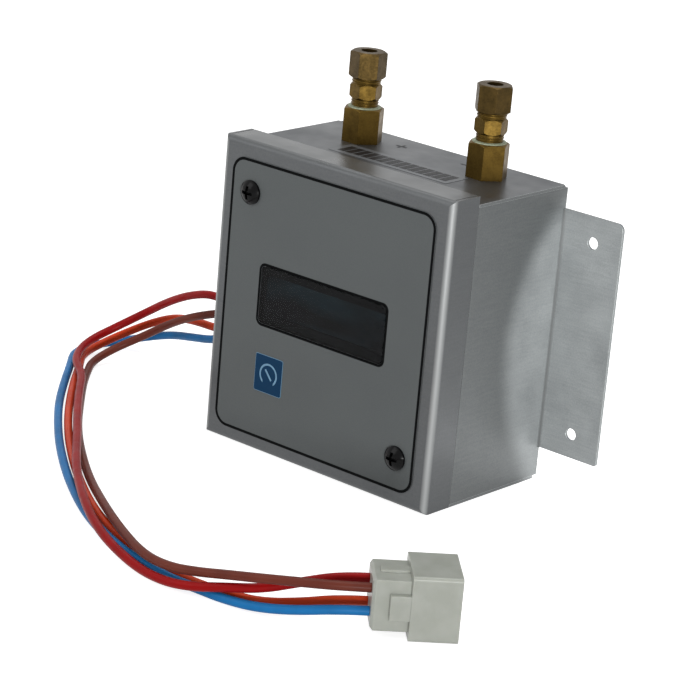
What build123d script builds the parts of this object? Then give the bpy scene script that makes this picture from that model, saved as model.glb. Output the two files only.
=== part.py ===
from build123d import *
import math
import os

# Differential pressure sensor in a folded sheet case, with a four-wire lead.
# Millimetres. The origin is the middle of the object's base, apart from its lead.
# +X is to the right of someone facing the window, +Y is to the rear, +Z is up.

# Sheet metal case
SHEET = 1.2
BEND_INSIDE = 1.2
CASE_WIDTH = 114.3
CASE_DEPTH = 69.9
COVER_HEIGHT = 122.1
COVER_FLANGE = 15.0
TOP_STEP = 3.2
COVER_SLIT = 0.5
SHEET_GAP = 0.2
TOP_TONGUE_LENGTH = 9.0
SIDE_TONGUE_LENGTH = 9.0
REAR_RELIEF = 0.6
TAB_WIDTH = 10.0
TAB_LENGTH = 30.0
TAB_START = 12.0

# Mounting ears, folded outwards from the side plates
EAR_WIDTH = 27.65
EAR_BOTTOM = 12.8
EAR_BELOW_TOP = 12.6
EAR_TOP_RADIUS = 2.8
EAR_BOTTOM_RADIUS = 1.0
EAR_HOLE_DIAMETER = 4.8
EAR_HOLE_FROM_TIP = 13.1
EAR_HOLE_FROM_BOTTOM = 9.4
EAR_HOLE_FROM_TOP = 10.3

# Front overlay and its print
OVERLAY_THICKNESS = 0.3
OVERLAY_SIDE_MARGIN = 6.2
OVERLAY_END_MARGIN = 6.1
OVERLAY_RADIUS = 6.3
OVERLAY_X = -0.7
FACE_BELOW_MIDDLE = 0.55
PRINT_THICKNESS = 0.05
BORDER_MARGIN = 0.1
BORDER_LINE = 1.1
WINDOW_WIDTH = 63.4
WINDOW_HEIGHT = 23.2
WINDOW_RADIUS = 2.0
WINDOW_X = -1.1
WINDOW_ABOVE_CENTRE = 3.35
WINDOW_LINE = 1.0
BADGE_WIDTH = 14.2
BADGE_HEIGHT = 15.2
BADGE_RADIUS = 0.8
BADGE_THICKNESS = 0.15
BADGE_X = -25.05
BADGE_BELOW_WINDOW = 31.25
BADGE_MARGIN = 0.15
DIAL_RADIUS = 4.6
DIAL_LINE = 0.8
DIAL_GAP = 5.4
NEEDLE_LENGTH = 5.2
NEEDLE_WIDTH = 0.9
NEEDLE_TURN = 40.0

# Cover screws and the long standoffs that they go into
SCREW_FROM_SIDE = 15.85
SCREW_FROM_END = 19.15
SCREW_HEAD_DIAMETER = 9.5
SCREW_HEAD_HEIGHT = 2.9
SCREW_HEAD_RIM = 0.9
SCREW_DIAMETER = 3.5
SCREW_LENGTH = 12.0
SCREW_HOLE_CLEARANCE = 0.4
THREAD_CLEARANCE = 0.05
STANDOFF_FLATS = 6.35
STANDOFF_SHANK_DIAMETER = 5.2
STANDOFF_BORE_DEPTH = 14.0
SEAT_CLEARANCE = 0.02

# Display module behind the window
LENS_THICKNESS = 1.0
LENS_MARGIN = 3.0
LENS_CLEARANCE = 0.15
LENS_RECESS = 0.05
LENS_TO_BEZEL = 0.2
BOARD_BEYOND_BEZEL_X = 4.4
BOARD_BEYOND_BEZEL_Z = 5.4
DISPLAY_HOLE_INSET = 2.5
BOARD_THICKNESS = 1.6
BEZEL_BEYOND_WINDOW_X = 3.9
BEZEL_BEYOND_WINDOW_Z = 1.0
BEZEL_DEPTH = 5.5
BEZEL_WALL = 0.6
VIEW_INSET_X = 5.35
VIEW_INSET_Z = 4.8
GLASS_DEPTH = 2.8
STUD_DIAMETER = 2.5
STUD_HEAD_DIAMETER = 4.2
STUD_LENGTH = 11.5
SPACER_DIAMETER = 5.0
STUD_NUT_FLATS = 5.0
STUD_NUT_HEIGHT = 2.0
STUD_CLEARANCE = 0.1

# Main board on the back plate
BOARD_TO_POST = 1.6
MAIN_BOARD_BOTTOM = 13.0
MAIN_BOARD_BELOW_PLATE = 18.9
BOARD_STANDOFF_HEIGHT = 8.0
BOARD_STANDOFF_FLATS = 5.5
BOARD_STANDOFF_SHANK = 4.2
BOARD_HOLE_INSET = 5.0
BOARD_SCREW_DIAMETER = 3.0
BOARD_SCREW_LENGTH = 6.0
BOARD_SCREW_HEAD = 5.6
BOARD_SCREW_HEAD_HEIGHT = 2.0
BOARD_SCREW_RIM = 0.8
BOARD_HOLE_CLEARANCE = 0.2

# Pressure cell with two ports, on the main board
CELL_WIDTH = 27.0
CELL_BOTTOM = 34.0
CELL_HEIGHT = 20.0
CELL_BASE_THICKNESS = 2.5
CELL_BASE_EXTRA = 5.5
CELL_FRONT_MARGIN = 6.0
CELL_PORT_LENGTH = 12.0
CELL_PORT_SPACING = 17.0
CELL_X = 1.1
CELL_EDGE_RADIUS = 1.2
CELL_PORT_RIDGES = 3
CELL_SCREW_HEAD = 5.2

# Gas fittings on the top plate, heights above the plate
FITTING_FROM_SIDE = 25.85
FITTING_X = 1.1
FITTING_FROM_REAR = 20.1
COUPLING_FLATS = 14.3
COUPLING_HEIGHT = 13.7
COUPLING_CORNERS = (-62.0, -64.5)
PIPE_THREAD_DIAMETER = 10.3
COUPLING_BORE = 6.0
COUPLING_THREAD_DEPTH = 6.2
BODY_THREAD_DEPTH = 5.9
BODY_HEX_BOTTOM = 17.0
BODY_HEX_TOP = 23.3
BODY_FLATS = 11.1
BODY_CORNERS = (-73.0, -75.0)
BODY_TOP = 31.5
NUT_THREAD_DIAMETER = 11.1
BODY_BORE = 4.4
TUBE_STOP = 20.0
TUBE_HOLE_DIAMETER = 6.4
CONE_DEPTH = 1.4
CONE_WIDTH = 0.9
NUT_BOTTOM = 25.4
NUT_TOP = 36.0
NUT_FLATS = 12.7
NUT_CORNERS = (-18.5, -44.5)
NUT_CEILING = 2.5
NUT_RUNNING_CLEARANCE = 0.05
FERRULE_WALL = 1.1
FERRULE_TO_NUT = 0.25
FERRULE_EDGE = 0.2
HEX_CHAMFER_INSET = 0.2
HEX_CHAMFER_ANGLE = 30.0
BODY_CHAMFER_ANGLE = 45.0
TAPE_HEIGHT = 0.6
TAPE_WIDTH = 1.4
TAPE_EDGE = 0.2

# Hose barbs under the top plate, and the tubes to the cell
BARB_FLANGE_HEIGHT = 4.0
BARB_WASHER_HEIGHT = 1.0
BARB_WASHER_DIAMETER = 17.0
BARB_STUB_HEIGHT = 5.6
BARB_LENGTH = 14.0
BARB_DIAMETER = 4.8
BARB_GROOVE = 0.35
BARB_RIDGES = 4
BARB_BORE = 2.4
TUBE_WALL = 1.6
TUBE_BEND_BELOW_PLATE = 28.9
TUBE_BEND_ABOVE_CELL = 18.0

# Small parts on the main board
TERMINAL_PITCH = 5.08
TERMINAL_COUNT = 4
TERMINAL_WIDTH = 10.0
TERMINAL_DEPTH = 13.8
TERMINAL_LEFT = -30.0
TERMINAL_Z = 35.0
TERMINAL_ENTRY_DEPTH = 3.0
TERMINAL_ENTRY_FROM_BOARD = 6.4
TERMINAL_WELL_DIAMETER = 3.8
TERMINAL_WELL_DEPTH = 3.0
TERMINAL_SLOT = 0.7
TERMINAL_SCREW_HEIGHT = 1.8
TERMINAL_END_WALL = 0.6
TERMINAL_CHAMFER = 2.0
HEADER_WIDTH = 22.0
HEADER_HEIGHT = 5.0
HEADER_DEPTH = 6.5
HEADER_X = 3.0
HEADER_MAIN_Z = 22.0
RIBBON_THICKNESS = 0.9
RIBBON_WIDTH = 20.3
RIBBON_BEND = 2.5

CHIP_THICKNESS = 1.8
PROCESSOR_SIZE = 12.0
PROCESSOR_FROM_TOP = 12.0
AMPLIFIER_LENGTH = 10.0
AMPLIFIER_WIDTH = 6.2
AMPLIFIER_X = -18.0
AMPLIFIER_Z = 66.0
REFERENCE_LENGTH = 8.0
REFERENCE_WIDTH = 5.0
REFERENCE_X = -24.0
REFERENCE_Z = 58.0
REGULATOR_FROM_BOTTOM = 14.0
REGULATOR_X = 24.0
CAPACITOR_DIAMETER = 8.0
CAPACITOR_HEIGHT = 10.5
CAPACITOR_EDGE = 0.5
CAPACITOR_PITCH = 11.0
CAPACITOR_FROM_CELL = 7.9
TRIM_LENGTH = 9.5
TRIM_WIDTH = 4.8
TRIM_HEIGHT = 10.0
TRIM_PITCH = 7.0
TRIM_ABOVE_CELL = 8.0
TRIM_SCREW_DIAMETER = 2.4
TRIM_SCREW_HEIGHT = 1.2

# Grommet in the left side plate and the leads through it
GROMMET_FROM_REAR = 31.9
GROMMET_Z = 35.0
GROMMET_HOLE_DIAMETER = 14.0
GROMMET_FLANGE_DIAMETER = 18.0
GROMMET_OUTER_HEIGHT = 1.45
GROMMET_INNER_HEIGHT = 2.0
GROMMET_EDGE = 0.9
LEAD_DIAMETER = 3.4
LEAD_PITCH = 5.0
TAIL_STRAIGHT = 9.6
TAIL_RUN_IN = 6.0

# Label and marks on the top plate
LABEL_WIDTH = 59.0
LABEL_LENGTH = 14.0
LABEL_THICKNESS = 0.1
LABEL_RADIUS = 0.6
LABEL_X = 1.5
LABEL_FROM_FITTINGS = 15.5
BAR_COUNT = 14
BAR_PITCH = 3.9
BAR_WIDTH = 3.2
BAR_LENGTH = 8.6
MARK_SIZE = 5.0
MARK_LINE = 1.1
MARK_INSET = 15.0
MARK_BEHIND_FITTINGS = 6.7

# Plug at the end of the leads: wire block, collar and pins
PLUG_PLACE = (110.3, -94.5)
PLUG_HEADING = 45.0
PLUG_LENGTH = 30.0
PLUG_BLOCK_SIZE = 18.4
PLUG_BLOCK_LENGTH = 13.0
PLUG_COLLAR_SIZE = 23.6
PLUG_WALL = 1.6
PLUG_CAVITY_DEPTH = 14.0
PLUG_PORT_PITCH = 8.5
PLUG_CHAMFER = 1.0
PIN_DIAMETER = 2.1
PIN_SEAT_DEPTH = 8.0
PIN_BELOW_RIM = 7.0
PIN_CLEARANCE = 0.05
LATCH_WIDTH = 9.0
LATCH_LENGTH = 7.0
LATCH_DEPTH = 0.9

# Planes and places worked out from the sizes above
TOTAL_DEPTH = CASE_DEPTH + OVERLAY_THICKNESS + SCREW_HEAD_HEIGHT
REAR_Y = TOTAL_DEPTH / 2
FRONT_Y = REAR_Y - CASE_DEPTH
COVER_BACK_Y = FRONT_Y + SHEET
FLANGE_END_Y = FRONT_Y + COVER_FLANGE
OVERLAY_Y = FRONT_Y - OVERLAY_THICKNESS
BACK_PLATE_Y = REAR_Y - SHEET
PLATE_TOP = COVER_HEIGHT - TOP_STEP
PLATE_UNDER = PLATE_TOP - SHEET
HALF_WIDTH = CASE_WIDTH / 2
WALL_INSIDE = HALF_WIDTH - SHEET
CHASSIS_HALF = WALL_INSIDE - SHEET_GAP
SHELL_START_Y = FLANGE_END_Y + SHEET_GAP
EAR_TIP_X = HALF_WIDTH + EAR_WIDTH
EAR_TOP = COVER_HEIGHT - EAR_BELOW_TOP
OVERLAY_WIDTH = CASE_WIDTH - 2 * OVERLAY_SIDE_MARGIN
OVERLAY_HEIGHT = COVER_HEIGHT - 2 * OVERLAY_END_MARGIN
FACE_CENTRE_Z = COVER_HEIGHT / 2 - FACE_BELOW_MIDDLE
WINDOW_Z = FACE_CENTRE_Z + WINDOW_ABOVE_CENTRE
BADGE_Z = WINDOW_Z - BADGE_BELOW_WINDOW
SCREW_X = HALF_WIDTH - SCREW_FROM_SIDE
SCREW_Z_OFFSET = COVER_HEIGHT / 2 - SCREW_FROM_END
MAIN_BOARD_TOP = PLATE_TOP - MAIN_BOARD_BELOW_PLATE
FITTING_Y = REAR_Y - FITTING_FROM_REAR
FITTING_XS = (FITTING_X - HALF_WIDTH + FITTING_FROM_SIDE, FITTING_X + HALF_WIDTH - FITTING_FROM_SIDE)
LABEL_Y = FITTING_Y - LABEL_FROM_FITTINGS
SCREW_PLACES = (
    (-SCREW_X, FACE_CENTRE_Z + SCREW_Z_OFFSET),
    (SCREW_X, FACE_CENTRE_Z - SCREW_Z_OFFSET),
)
BEZEL_WIDTH = WINDOW_WIDTH + 2 * BEZEL_BEYOND_WINDOW_X
BEZEL_HEIGHT = WINDOW_HEIGHT + 2 * BEZEL_BEYOND_WINDOW_Z
DISPLAY_BOARD_WIDTH = BEZEL_WIDTH + 2 * BOARD_BEYOND_BEZEL_X
DISPLAY_BOARD_HEIGHT = BEZEL_HEIGHT + 2 * BOARD_BEYOND_BEZEL_Z
BEZEL_Y = COVER_BACK_Y + LENS_THICKNESS + LENS_TO_BEZEL
DISPLAY_BOARD_Y = BEZEL_Y + BEZEL_DEPTH
DISPLAY_BACK_Y = DISPLAY_BOARD_Y + BOARD_THICKNESS
DISPLAY_HOLES = [
    (WINDOW_X + side * (DISPLAY_BOARD_WIDTH / 2 - DISPLAY_HOLE_INSET),
     WINDOW_Z + level * (DISPLAY_BOARD_HEIGHT / 2 - DISPLAY_HOLE_INSET))
    for side in (-1, 1) for level in (-1, 1)
]
MAIN_BOARD_WIDTH = 2 * (SCREW_X - STANDOFF_FLATS / math.sqrt(3) - BOARD_TO_POST)
MAIN_BOARD_BACK_Y = BACK_PLATE_Y - BOARD_STANDOFF_HEIGHT
MAIN_BOARD_Y = MAIN_BOARD_BACK_Y - BOARD_THICKNESS
MAIN_BOARD_HOLES = [
    (side * (MAIN_BOARD_WIDTH / 2 - BOARD_HOLE_INSET), height)
    for side in (-1, 1)
    for height in (MAIN_BOARD_BOTTOM + BOARD_HOLE_INSET, MAIN_BOARD_TOP - BOARD_HOLE_INSET)
]
BARB_FLANGE_TOP = PLATE_UNDER - BARB_WASHER_HEIGHT
BARB_FLANGE_BOTTOM = BARB_FLANGE_TOP - BARB_FLANGE_HEIGHT
GROMMET_Y = REAR_Y - GROMMET_FROM_REAR
GROMMET_FACE_X = -HALF_WIDTH - GROMMET_OUTER_HEIGHT
PLUG_Z = PLUG_COLLAR_SIZE / 2

# Lead routes outside the case: x, distance behind the cover's front face, height.
# They leave the grommet, turn down beside the case and lie on the table in front of it.
LEAD_ROUTES = {
    "blue": [
        (-58.6, 35.5, 32.5), (-68, 35.5, 32.5), (-79, 37, 26.5), (-93, 40.5, 20.5), (-109, 45, 16.5),
        (-125.5, 50.5, 12), (-140.5, 51.5, 6.8), (-152.5, 45.5, 2.5), (-157, 33, 1.8), (-153.5, 20, 1.8),
        (-143.5, 9, 1.8), (-128, -9.5, 1.8), (-111, -28.5, 1.8), (-93.5, -45.5, 1.8), (-74.5, -62.5, 1.8),
        (-48.5, -83, 1.8), (-19, -102.5, 1.8), (5.5, -113.5, 1.8), (28.5, -119.5, 1.8),
        (43.5, -121.2, 1.8), (55.4, -120.2, 1.8), (66.6, -119.5, 1.8), (79.3, -117.2, 2.4),
        (92.3, -113, 4.6), (106.3, -104.5, 7.55), (113.3, -97.5, 7.55),
    ],
    "orange": [
        (-58.6, 40.5, 32.5), (-68, 40.5, 32.5), (-79, 42, 28.5), (-92.5, 43, 25), (-108, 46.5, 23.5),
        (-123.5, 50, 20.5), (-137, 49.5, 14.5), (-148, 43.5, 7.5), (-152.5, 32, 2.8), (-149, 20.5, 1.8),
        (-140.5, 11.5, 1.8), (-125, -7, 1.8), (-108, -25.5, 1.8), (-91, -42.5, 1.8), (-72, -59.5, 1.8),
        (-46, -80, 1.8), (-17, -99, 1.8), (7, -109.5, 1.8), (29.5, -115.5, 1.8), (44, -117.2, 1.8),
        (55.4, -116.7, 1.8), (66.6, -115, 1.8), (78.3, -112.2, 2.4), (89.8, -105.5, 4.6),
        (100.3, -98.5, 7.55), (107.3, -91.5, 7.55),
    ],
    "brown": [
        (-58.6, 40.5, 37.5), (-68, 40.5, 37.5), (-78.5, 39, 36.5), (-91, 38, 33), (-105, 38, 27.5),
        (-119, 39.5, 20), (-131, 38.5, 12), (-139.5, 30, 5.8), (-140, 18, 2.2), (-132, 7.5, 1.8),
        (-122, -4.5, 1.8), (-105, -22.5, 1.8), (-88.5, -39.5, 1.8), (-69.5, -56.5, 1.8),
        (-43.5, -77, 2.2), (-15.5, -96.5, 4.8), (7, -110, 5.6), (28.5, -120.5, 5.9), (43.5, -122.8, 6.6),
        (55.4, -120.8, 8.2), (66.6, -118.5, 10.4), (78.8, -116.8, 12.9), (92.3, -112.5, 15),
        (106.3, -104.5, 16.05), (113.3, -97.5, 16.05),
    ],
    "red": [
        (-58.6, 35.5, 37.5), (-68, 35.5, 37.5), (-79, 36, 40.5), (-92, 37, 41.5), (-107, 39.5, 36.5),
        (-122, 43, 29), (-135.5, 44.5, 20.5), (-146, 38.5, 12.5), (-150, 27, 7.8), (-146, 15.5, 5.9),
        (-136, 4.5, 5.8), (-122.5, -4.5, 5.8), (-105.5, -23, 5.8), (-88.5, -40, 5.8), (-70.5, -57.2, 5.8),
        (-46.5, -81, 5.9), (-19, -103, 6.1), (4.5, -117, 4.4), (27.5, -123.5, 1.9), (43, -125.2, 1.9),
        (55.4, -124.2, 3.6), (66.6, -119.5, 6), (78.3, -113.2, 7.8), (89.3, -105.5, 12),
        (100.3, -98.5, 16.05), (107.3, -91.5, 16.05),
    ],
}
LEAD_SEATS = {"red": (-1, 1), "brown": (1, 1), "orange": (1, -1), "blue": (-1, -1)}


def block(x0, x1, y0, y1, z0, z1):
    """Rectangular block between two corners."""
    middle = Pos((x0 + x1) / 2, (y0 + y1) / 2, (z0 + z1) / 2)
    return middle * Box(x1 - x0, y1 - y0, z1 - z0)


def rod(diameter, start, end):
    """Round bar along Z, from start to end."""
    return Pos(0, 0, (start + end) / 2) * Cylinder(diameter / 2, end - start)


def turned(outline):
    """Solid turned about Z from a closed outline of (radius, height) points."""
    return revolve(Plane.XZ * make_face(Polyline(*outline, close=True)), Axis.Z)


def hex_bar(flats, start, end, corner=0.0, low_chamfer=False, high_chamfer=False,
            angle=HEX_CHAMFER_ANGLE):
    """Hexagonal bar along Z with one corner at the given angle and turned end chamfers."""
    section = Rot(0, 0, corner) * RegularPolygon(flats / 2, 6, major_radius=False)
    bar = Pos(0, 0, start) * extrude(section, amount=end - start)
    corner_radius = flats / math.sqrt(3) + 0.01
    end_radius = flats / 2 - HEX_CHAMFER_INSET
    drop = (corner_radius - end_radius) * math.tan(math.radians(angle))
    outline = [(0, start)]
    if low_chamfer:
        outline += [(end_radius, start), (corner_radius, start + drop)]
    else:
        outline.append((corner_radius, start))
    if high_chamfer:
        outline += [(corner_radius, end - drop), (end_radius, end)]
    else:
        outline.append((corner_radius, end))
    return bar & turned([*outline, (0, end)])


def facing_front(shape, x, y, z):
    """Places a shape whose own +Z is to point at the viewer, which is -Y."""
    return Pos(x, y, z) * Rot(90, 0, 0) * shape


def facing_right(shape, x, y, z):
    """Places a shape whose own +Z is to point along +X."""
    return Pos(x, y, z) * Rot(0, 90, 0) * shape


def panel(sketch, front, back):
    """Flat plate cut from a sketch in X and Z, between two Y planes."""
    return Pos(0, back, 0) * extrude(Plane.XZ * sketch, amount=back - front)


def rounded(width, height, radius, x=0.0, z=0.0):
    """Rounded rectangle, as a sketch."""
    return Pos(x, z) * RectangleRounded(width, height, radius)


def folded_section(face_points, thickness, bend):
    """Section of a folded sheet. The points run along one face, with the metal on their left."""
    points = [Vector(*point) for point in face_points]
    headings = [(after - before).normalized() for before, after in zip(points, points[1:])]
    sides = [Vector(-heading.Y, heading.X) * thickness for heading in headings]
    back = [points[0] + sides[0]]
    face_radii = []
    back_radii = []
    for index, corner in enumerate(points[1:-1]):
        before, after = headings[index], headings[index + 1]
        turns_left = before.X * after.Y - before.Y * after.X > 0
        back.append(corner + (sides[index] + sides[index + 1]) * (1 / (1 + before.dot(after))))
        face_radii.append(bend + thickness if turns_left else bend)
        back_radii.append(bend if turns_left else bend + thickness)
    back.append(points[-1] + sides[-1])
    back.reverse()
    back_radii.reverse()
    edges = [
        *FilletPolyline(*points, radius=face_radii).edges(),
        *Line(points[-1], back[0]).edges(),
        *FilletPolyline(*back, radius=back_radii).edges(),
        *Line(back[-1], points[0]).edges(),
    ]
    return make_face(edges)


def route_radii(points):
    """Largest arc at each corner that its two runs leave room for."""
    radii = []
    for before, corner, after in zip(points, points[1:], points[2:]):
        arriving, leaving = corner - before, after - corner
        half_turn = math.radians(arriving.get_angle(leaving)) / 2
        radii.append(0.45 * min(arriving.length, leaving.length) / math.tan(half_turn))
    return radii


def tube_along(places, diameter, bore=0.0):
    """Round tube or wire along straight runs joined by tangent arcs."""
    points = [Vector(*place) for place in places]
    path = FilletPolyline(*points, radius=route_radii(points))
    start = Plane(origin=path @ 0, z_dir=path % 0)
    section = Circle(diameter / 2)
    if bore:
        section -= Circle(bore / 2)
    return sweep(start * section, path=path), path


def cross_recess(diameter, top, depth):
    """Two crossed slots in the top of a screw head."""
    length, width = diameter * 0.56, diameter * 0.13
    middle = Pos(0, 0, top - depth / 2)
    return middle * Box(length, width, depth) + middle * Box(width, length, depth)


def screw(head_diameter, head_height, rim, diameter, length):
    """Domed cross-recess screw: the head stands on z = 0 and the shank goes down."""
    dome = head_height - rim
    ball = ((head_diameter / 2) ** 2 + dome ** 2) / (2 * dome)
    head = rod(head_diameter, 0, head_height) & (Pos(0, 0, head_height - ball) * Sphere(ball))
    return head - cross_recess(head_diameter, head_height, dome) + rod(diameter, -length, 0)


def make_front_cover():
    """Shallow tray with a flange on each side, slit at its corners."""
    outer = block(-HALF_WIDTH, HALF_WIDTH, FRONT_Y, FLANGE_END_Y, 0, COVER_HEIGHT)
    outer = fillet(outer.faces().sort_by(Axis.Y)[0].edges(), BEND_INSIDE + SHEET)
    inner = block(-WALL_INSIDE, WALL_INSIDE, COVER_BACK_Y, FLANGE_END_Y + 1, SHEET, COVER_HEIGHT - SHEET)
    inner = fillet(inner.faces().sort_by(Axis.Y)[0].edges(), BEND_INSIDE)
    cover = outer - inner
    slit_start = FRONT_Y + SHEET + BEND_INSIDE
    for side in (-1, 1):
        x0, x1 = sorted((side * WALL_INSIDE, side * (WALL_INSIDE - COVER_SLIT)))
        for z0, z1 in ((-1, SHEET), (COVER_HEIGHT - SHEET, COVER_HEIGHT + 1)):
            cover -= block(x0, x1, slit_start, FLANGE_END_Y + 1, z0, z1)
    cover -= panel(rounded(WINDOW_WIDTH, WINDOW_HEIGHT, WINDOW_RADIUS, WINDOW_X, WINDOW_Z),
                   FRONT_Y - 1, COVER_BACK_Y + 1)
    for x, z in SCREW_PLACES:
        hole = SCREW_DIAMETER + 2 * SCREW_HOLE_CLEARANCE
        cover -= facing_front(rod(hole, -SHEET - 1, 1), x, FRONT_Y, z)
    for x, z in DISPLAY_HOLES:
        cover -= facing_front(rod(STUD_HEAD_DIAMETER, -SHEET - 1, 1), x, FRONT_Y, z)
    return cover


def make_chassis():
    """Top, back and bottom plates folded from one sheet."""
    top_start = FLANGE_END_Y - TOP_TONGUE_LENGTH
    section = folded_section(
        [(SHELL_START_Y, 0), (REAR_Y, 0), (REAR_Y, PLATE_TOP), (top_start, PLATE_TOP)], SHEET, BEND_INSIDE)
    chassis = Pos(-CHASSIS_HALF, 0, 0) * extrude(Plane.YZ * section, amount=2 * CHASSIS_HALF)
    wide_end = REAR_Y - SHEET - BEND_INSIDE - REAR_RELIEF
    chassis += block(-HALF_WIDTH, HALF_WIDTH, SHELL_START_Y, wide_end, 0, SHEET)
    chassis += block(-HALF_WIDTH, HALF_WIDTH, SHELL_START_Y, wide_end, PLATE_UNDER, PLATE_TOP)
    for x in FITTING_XS:
        hole = rod(PIPE_THREAD_DIAMETER + 2 * STUD_CLEARANCE, PLATE_UNDER - 1, PLATE_TOP + 1)
        chassis -= Pos(x, FITTING_Y, 0) * hole
    for x, z in SCREW_PLACES:
        chassis -= facing_front(rod(STANDOFF_SHANK_DIAMETER, -SHEET - 1, 1), x, BACK_PLATE_Y, z)
    for x, z in MAIN_BOARD_HOLES:
        chassis -= facing_front(rod(BOARD_STANDOFF_SHANK, -SHEET - 1, 1), x, BACK_PLATE_Y, z)
    return chassis


def ear_tips(ear):
    """Edges through the sheet at the ear's outer end, from the lowest up."""
    return ear.edges().filter_by(Axis.Y).group_by(Axis.X)[-1].sort_by(Axis.Z)


def make_side_plate():
    """Right side plate: wall, set-in front tongue, outward ear and two weld tabs."""
    tongue_x = WALL_INSIDE - SHEET_GAP
    plate = block(WALL_INSIDE, HALF_WIDTH, SHELL_START_Y, REAR_Y - REAR_RELIEF, SHEET, PLATE_UNDER)
    plate += block(tongue_x - SHEET, HALF_WIDTH, SHELL_START_Y, SHELL_START_Y + SHEET, SHEET, PLATE_UNDER)
    plate += block(tongue_x - SHEET, tongue_x, FLANGE_END_Y - SIDE_TONGUE_LENGTH, SHELL_START_Y + SHEET,
                   SHEET, PLATE_UNDER)
    cut_back = block(WALL_INSIDE - 1, HALF_WIDTH + 1, BACK_PLATE_Y - BEND_INSIDE - SHEET, REAR_Y + 1,
                     EAR_BOTTOM, EAR_TOP)
    plate -= cut_back
    ear_path = [(HALF_WIDTH, FLANGE_END_Y + TAB_START), (HALF_WIDTH, BACK_PLATE_Y),
                (EAR_TIP_X, BACK_PLATE_Y)]
    ear = Pos(0, 0, EAR_BOTTOM) * extrude(folded_section(ear_path, SHEET, BEND_INSIDE),
                                          amount=EAR_TOP - EAR_BOTTOM)
    ear = fillet(ear_tips(ear)[-1], EAR_TOP_RADIUS)
    ear = fillet(ear_tips(ear)[0], EAR_BOTTOM_RADIUS)
    plate += ear
    for z in (EAR_BOTTOM + EAR_HOLE_FROM_BOTTOM, EAR_TOP - EAR_HOLE_FROM_TOP):
        hole = rod(EAR_HOLE_DIAMETER, -SHEET - 1, 1)
        plate -= facing_front(hole, EAR_TIP_X - EAR_HOLE_FROM_TIP, BACK_PLATE_Y, z)
    tab_y = FLANGE_END_Y + TAB_START
    for z in (SHEET, PLATE_UNDER - SHEET):
        plate += block(WALL_INSIDE - TAB_WIDTH, WALL_INSIDE, tab_y, tab_y + TAB_LENGTH, z, z + SHEET)
    return plate


def make_left_side_plate():
    """Mirror of the right side plate, with the lead hole."""
    hole = facing_right(rod(GROMMET_HOLE_DIAMETER, -SHEET, 2 * SHEET), -HALF_WIDTH, GROMMET_Y, GROMMET_Z)
    return mirror(make_side_plate(), about=Plane.YZ) - hole


def make_overlay():
    """Film on the front of the cover, open at the window and the screws."""
    sketch = rounded(OVERLAY_WIDTH, OVERLAY_HEIGHT, OVERLAY_RADIUS, OVERLAY_X, FACE_CENTRE_Z)
    sketch -= rounded(WINDOW_WIDTH, WINDOW_HEIGHT, WINDOW_RADIUS, WINDOW_X, WINDOW_Z)
    for x, z in SCREW_PLACES:
        sketch -= Pos(x, z) * Circle(SCREW_DIAMETER / 2 + SCREW_HOLE_CLEARANCE)
    return panel(sketch, OVERLAY_Y, FRONT_Y)


def make_overlay_print():
    """Printed border line and window line, as two thin rings."""
    width, height = OVERLAY_WIDTH - 2 * BORDER_MARGIN, OVERLAY_HEIGHT - 2 * BORDER_MARGIN
    radius = OVERLAY_RADIUS - BORDER_MARGIN
    border = rounded(width, height, radius, OVERLAY_X, FACE_CENTRE_Z)
    border -= rounded(width - 2 * BORDER_LINE, height - 2 * BORDER_LINE, radius - BORDER_LINE,
                      OVERLAY_X, FACE_CENTRE_Z)
    line = rounded(WINDOW_WIDTH + 2 * WINDOW_LINE, WINDOW_HEIGHT + 2 * WINDOW_LINE,
                   WINDOW_RADIUS + WINDOW_LINE, WINDOW_X, WINDOW_Z)
    line -= rounded(WINDOW_WIDTH, WINDOW_HEIGHT, WINDOW_RADIUS, WINDOW_X, WINDOW_Z)
    front = OVERLAY_Y - PRINT_THICKNESS
    return [panel(border, front, OVERLAY_Y), panel(line, front, OVERLAY_Y)]


def make_badge():
    """Plain white film label on the overlay."""
    sketch = rounded(BADGE_WIDTH, BADGE_HEIGHT, BADGE_RADIUS, BADGE_X, BADGE_Z)
    return panel(sketch, OVERLAY_Y - BADGE_THICKNESS, OVERLAY_Y)


def make_badge_print():
    """Printed field with a simple dial and needle left open."""
    field = RectangleRounded(BADGE_WIDTH - 2 * BADGE_MARGIN, BADGE_HEIGHT - 2 * BADGE_MARGIN,
                             BADGE_RADIUS - BADGE_MARGIN / 2)
    dial = Circle(DIAL_RADIUS) - Circle(DIAL_RADIUS - DIAL_LINE)
    dial -= Pos(0, -DIAL_RADIUS) * Rectangle(DIAL_GAP, DIAL_RADIUS)
    needle = Rot(0, 0, NEEDLE_TURN) * Rectangle(NEEDLE_WIDTH, NEEDLE_LENGTH)
    field -= dial
    field -= needle
    front = OVERLAY_Y - BADGE_THICKNESS
    return panel(Pos(BADGE_X, BADGE_Z) * field, front - PRINT_THICKNESS, front)


def make_window_lens():
    """Clear window with a step that fills the cut-out and a flange behind the cover."""
    step = rounded(WINDOW_WIDTH - 2 * LENS_CLEARANCE, WINDOW_HEIGHT - 2 * LENS_CLEARANCE,
                   WINDOW_RADIUS - LENS_CLEARANCE, WINDOW_X, WINDOW_Z)
    flange = rounded(WINDOW_WIDTH + 2 * LENS_MARGIN, WINDOW_HEIGHT + 2 * LENS_MARGIN,
                     WINDOW_RADIUS, WINDOW_X, WINDOW_Z)
    front = OVERLAY_Y + LENS_RECESS
    return panel(step, front, COVER_BACK_Y) + panel(flange, COVER_BACK_Y, COVER_BACK_Y + LENS_THICKNESS)


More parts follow.
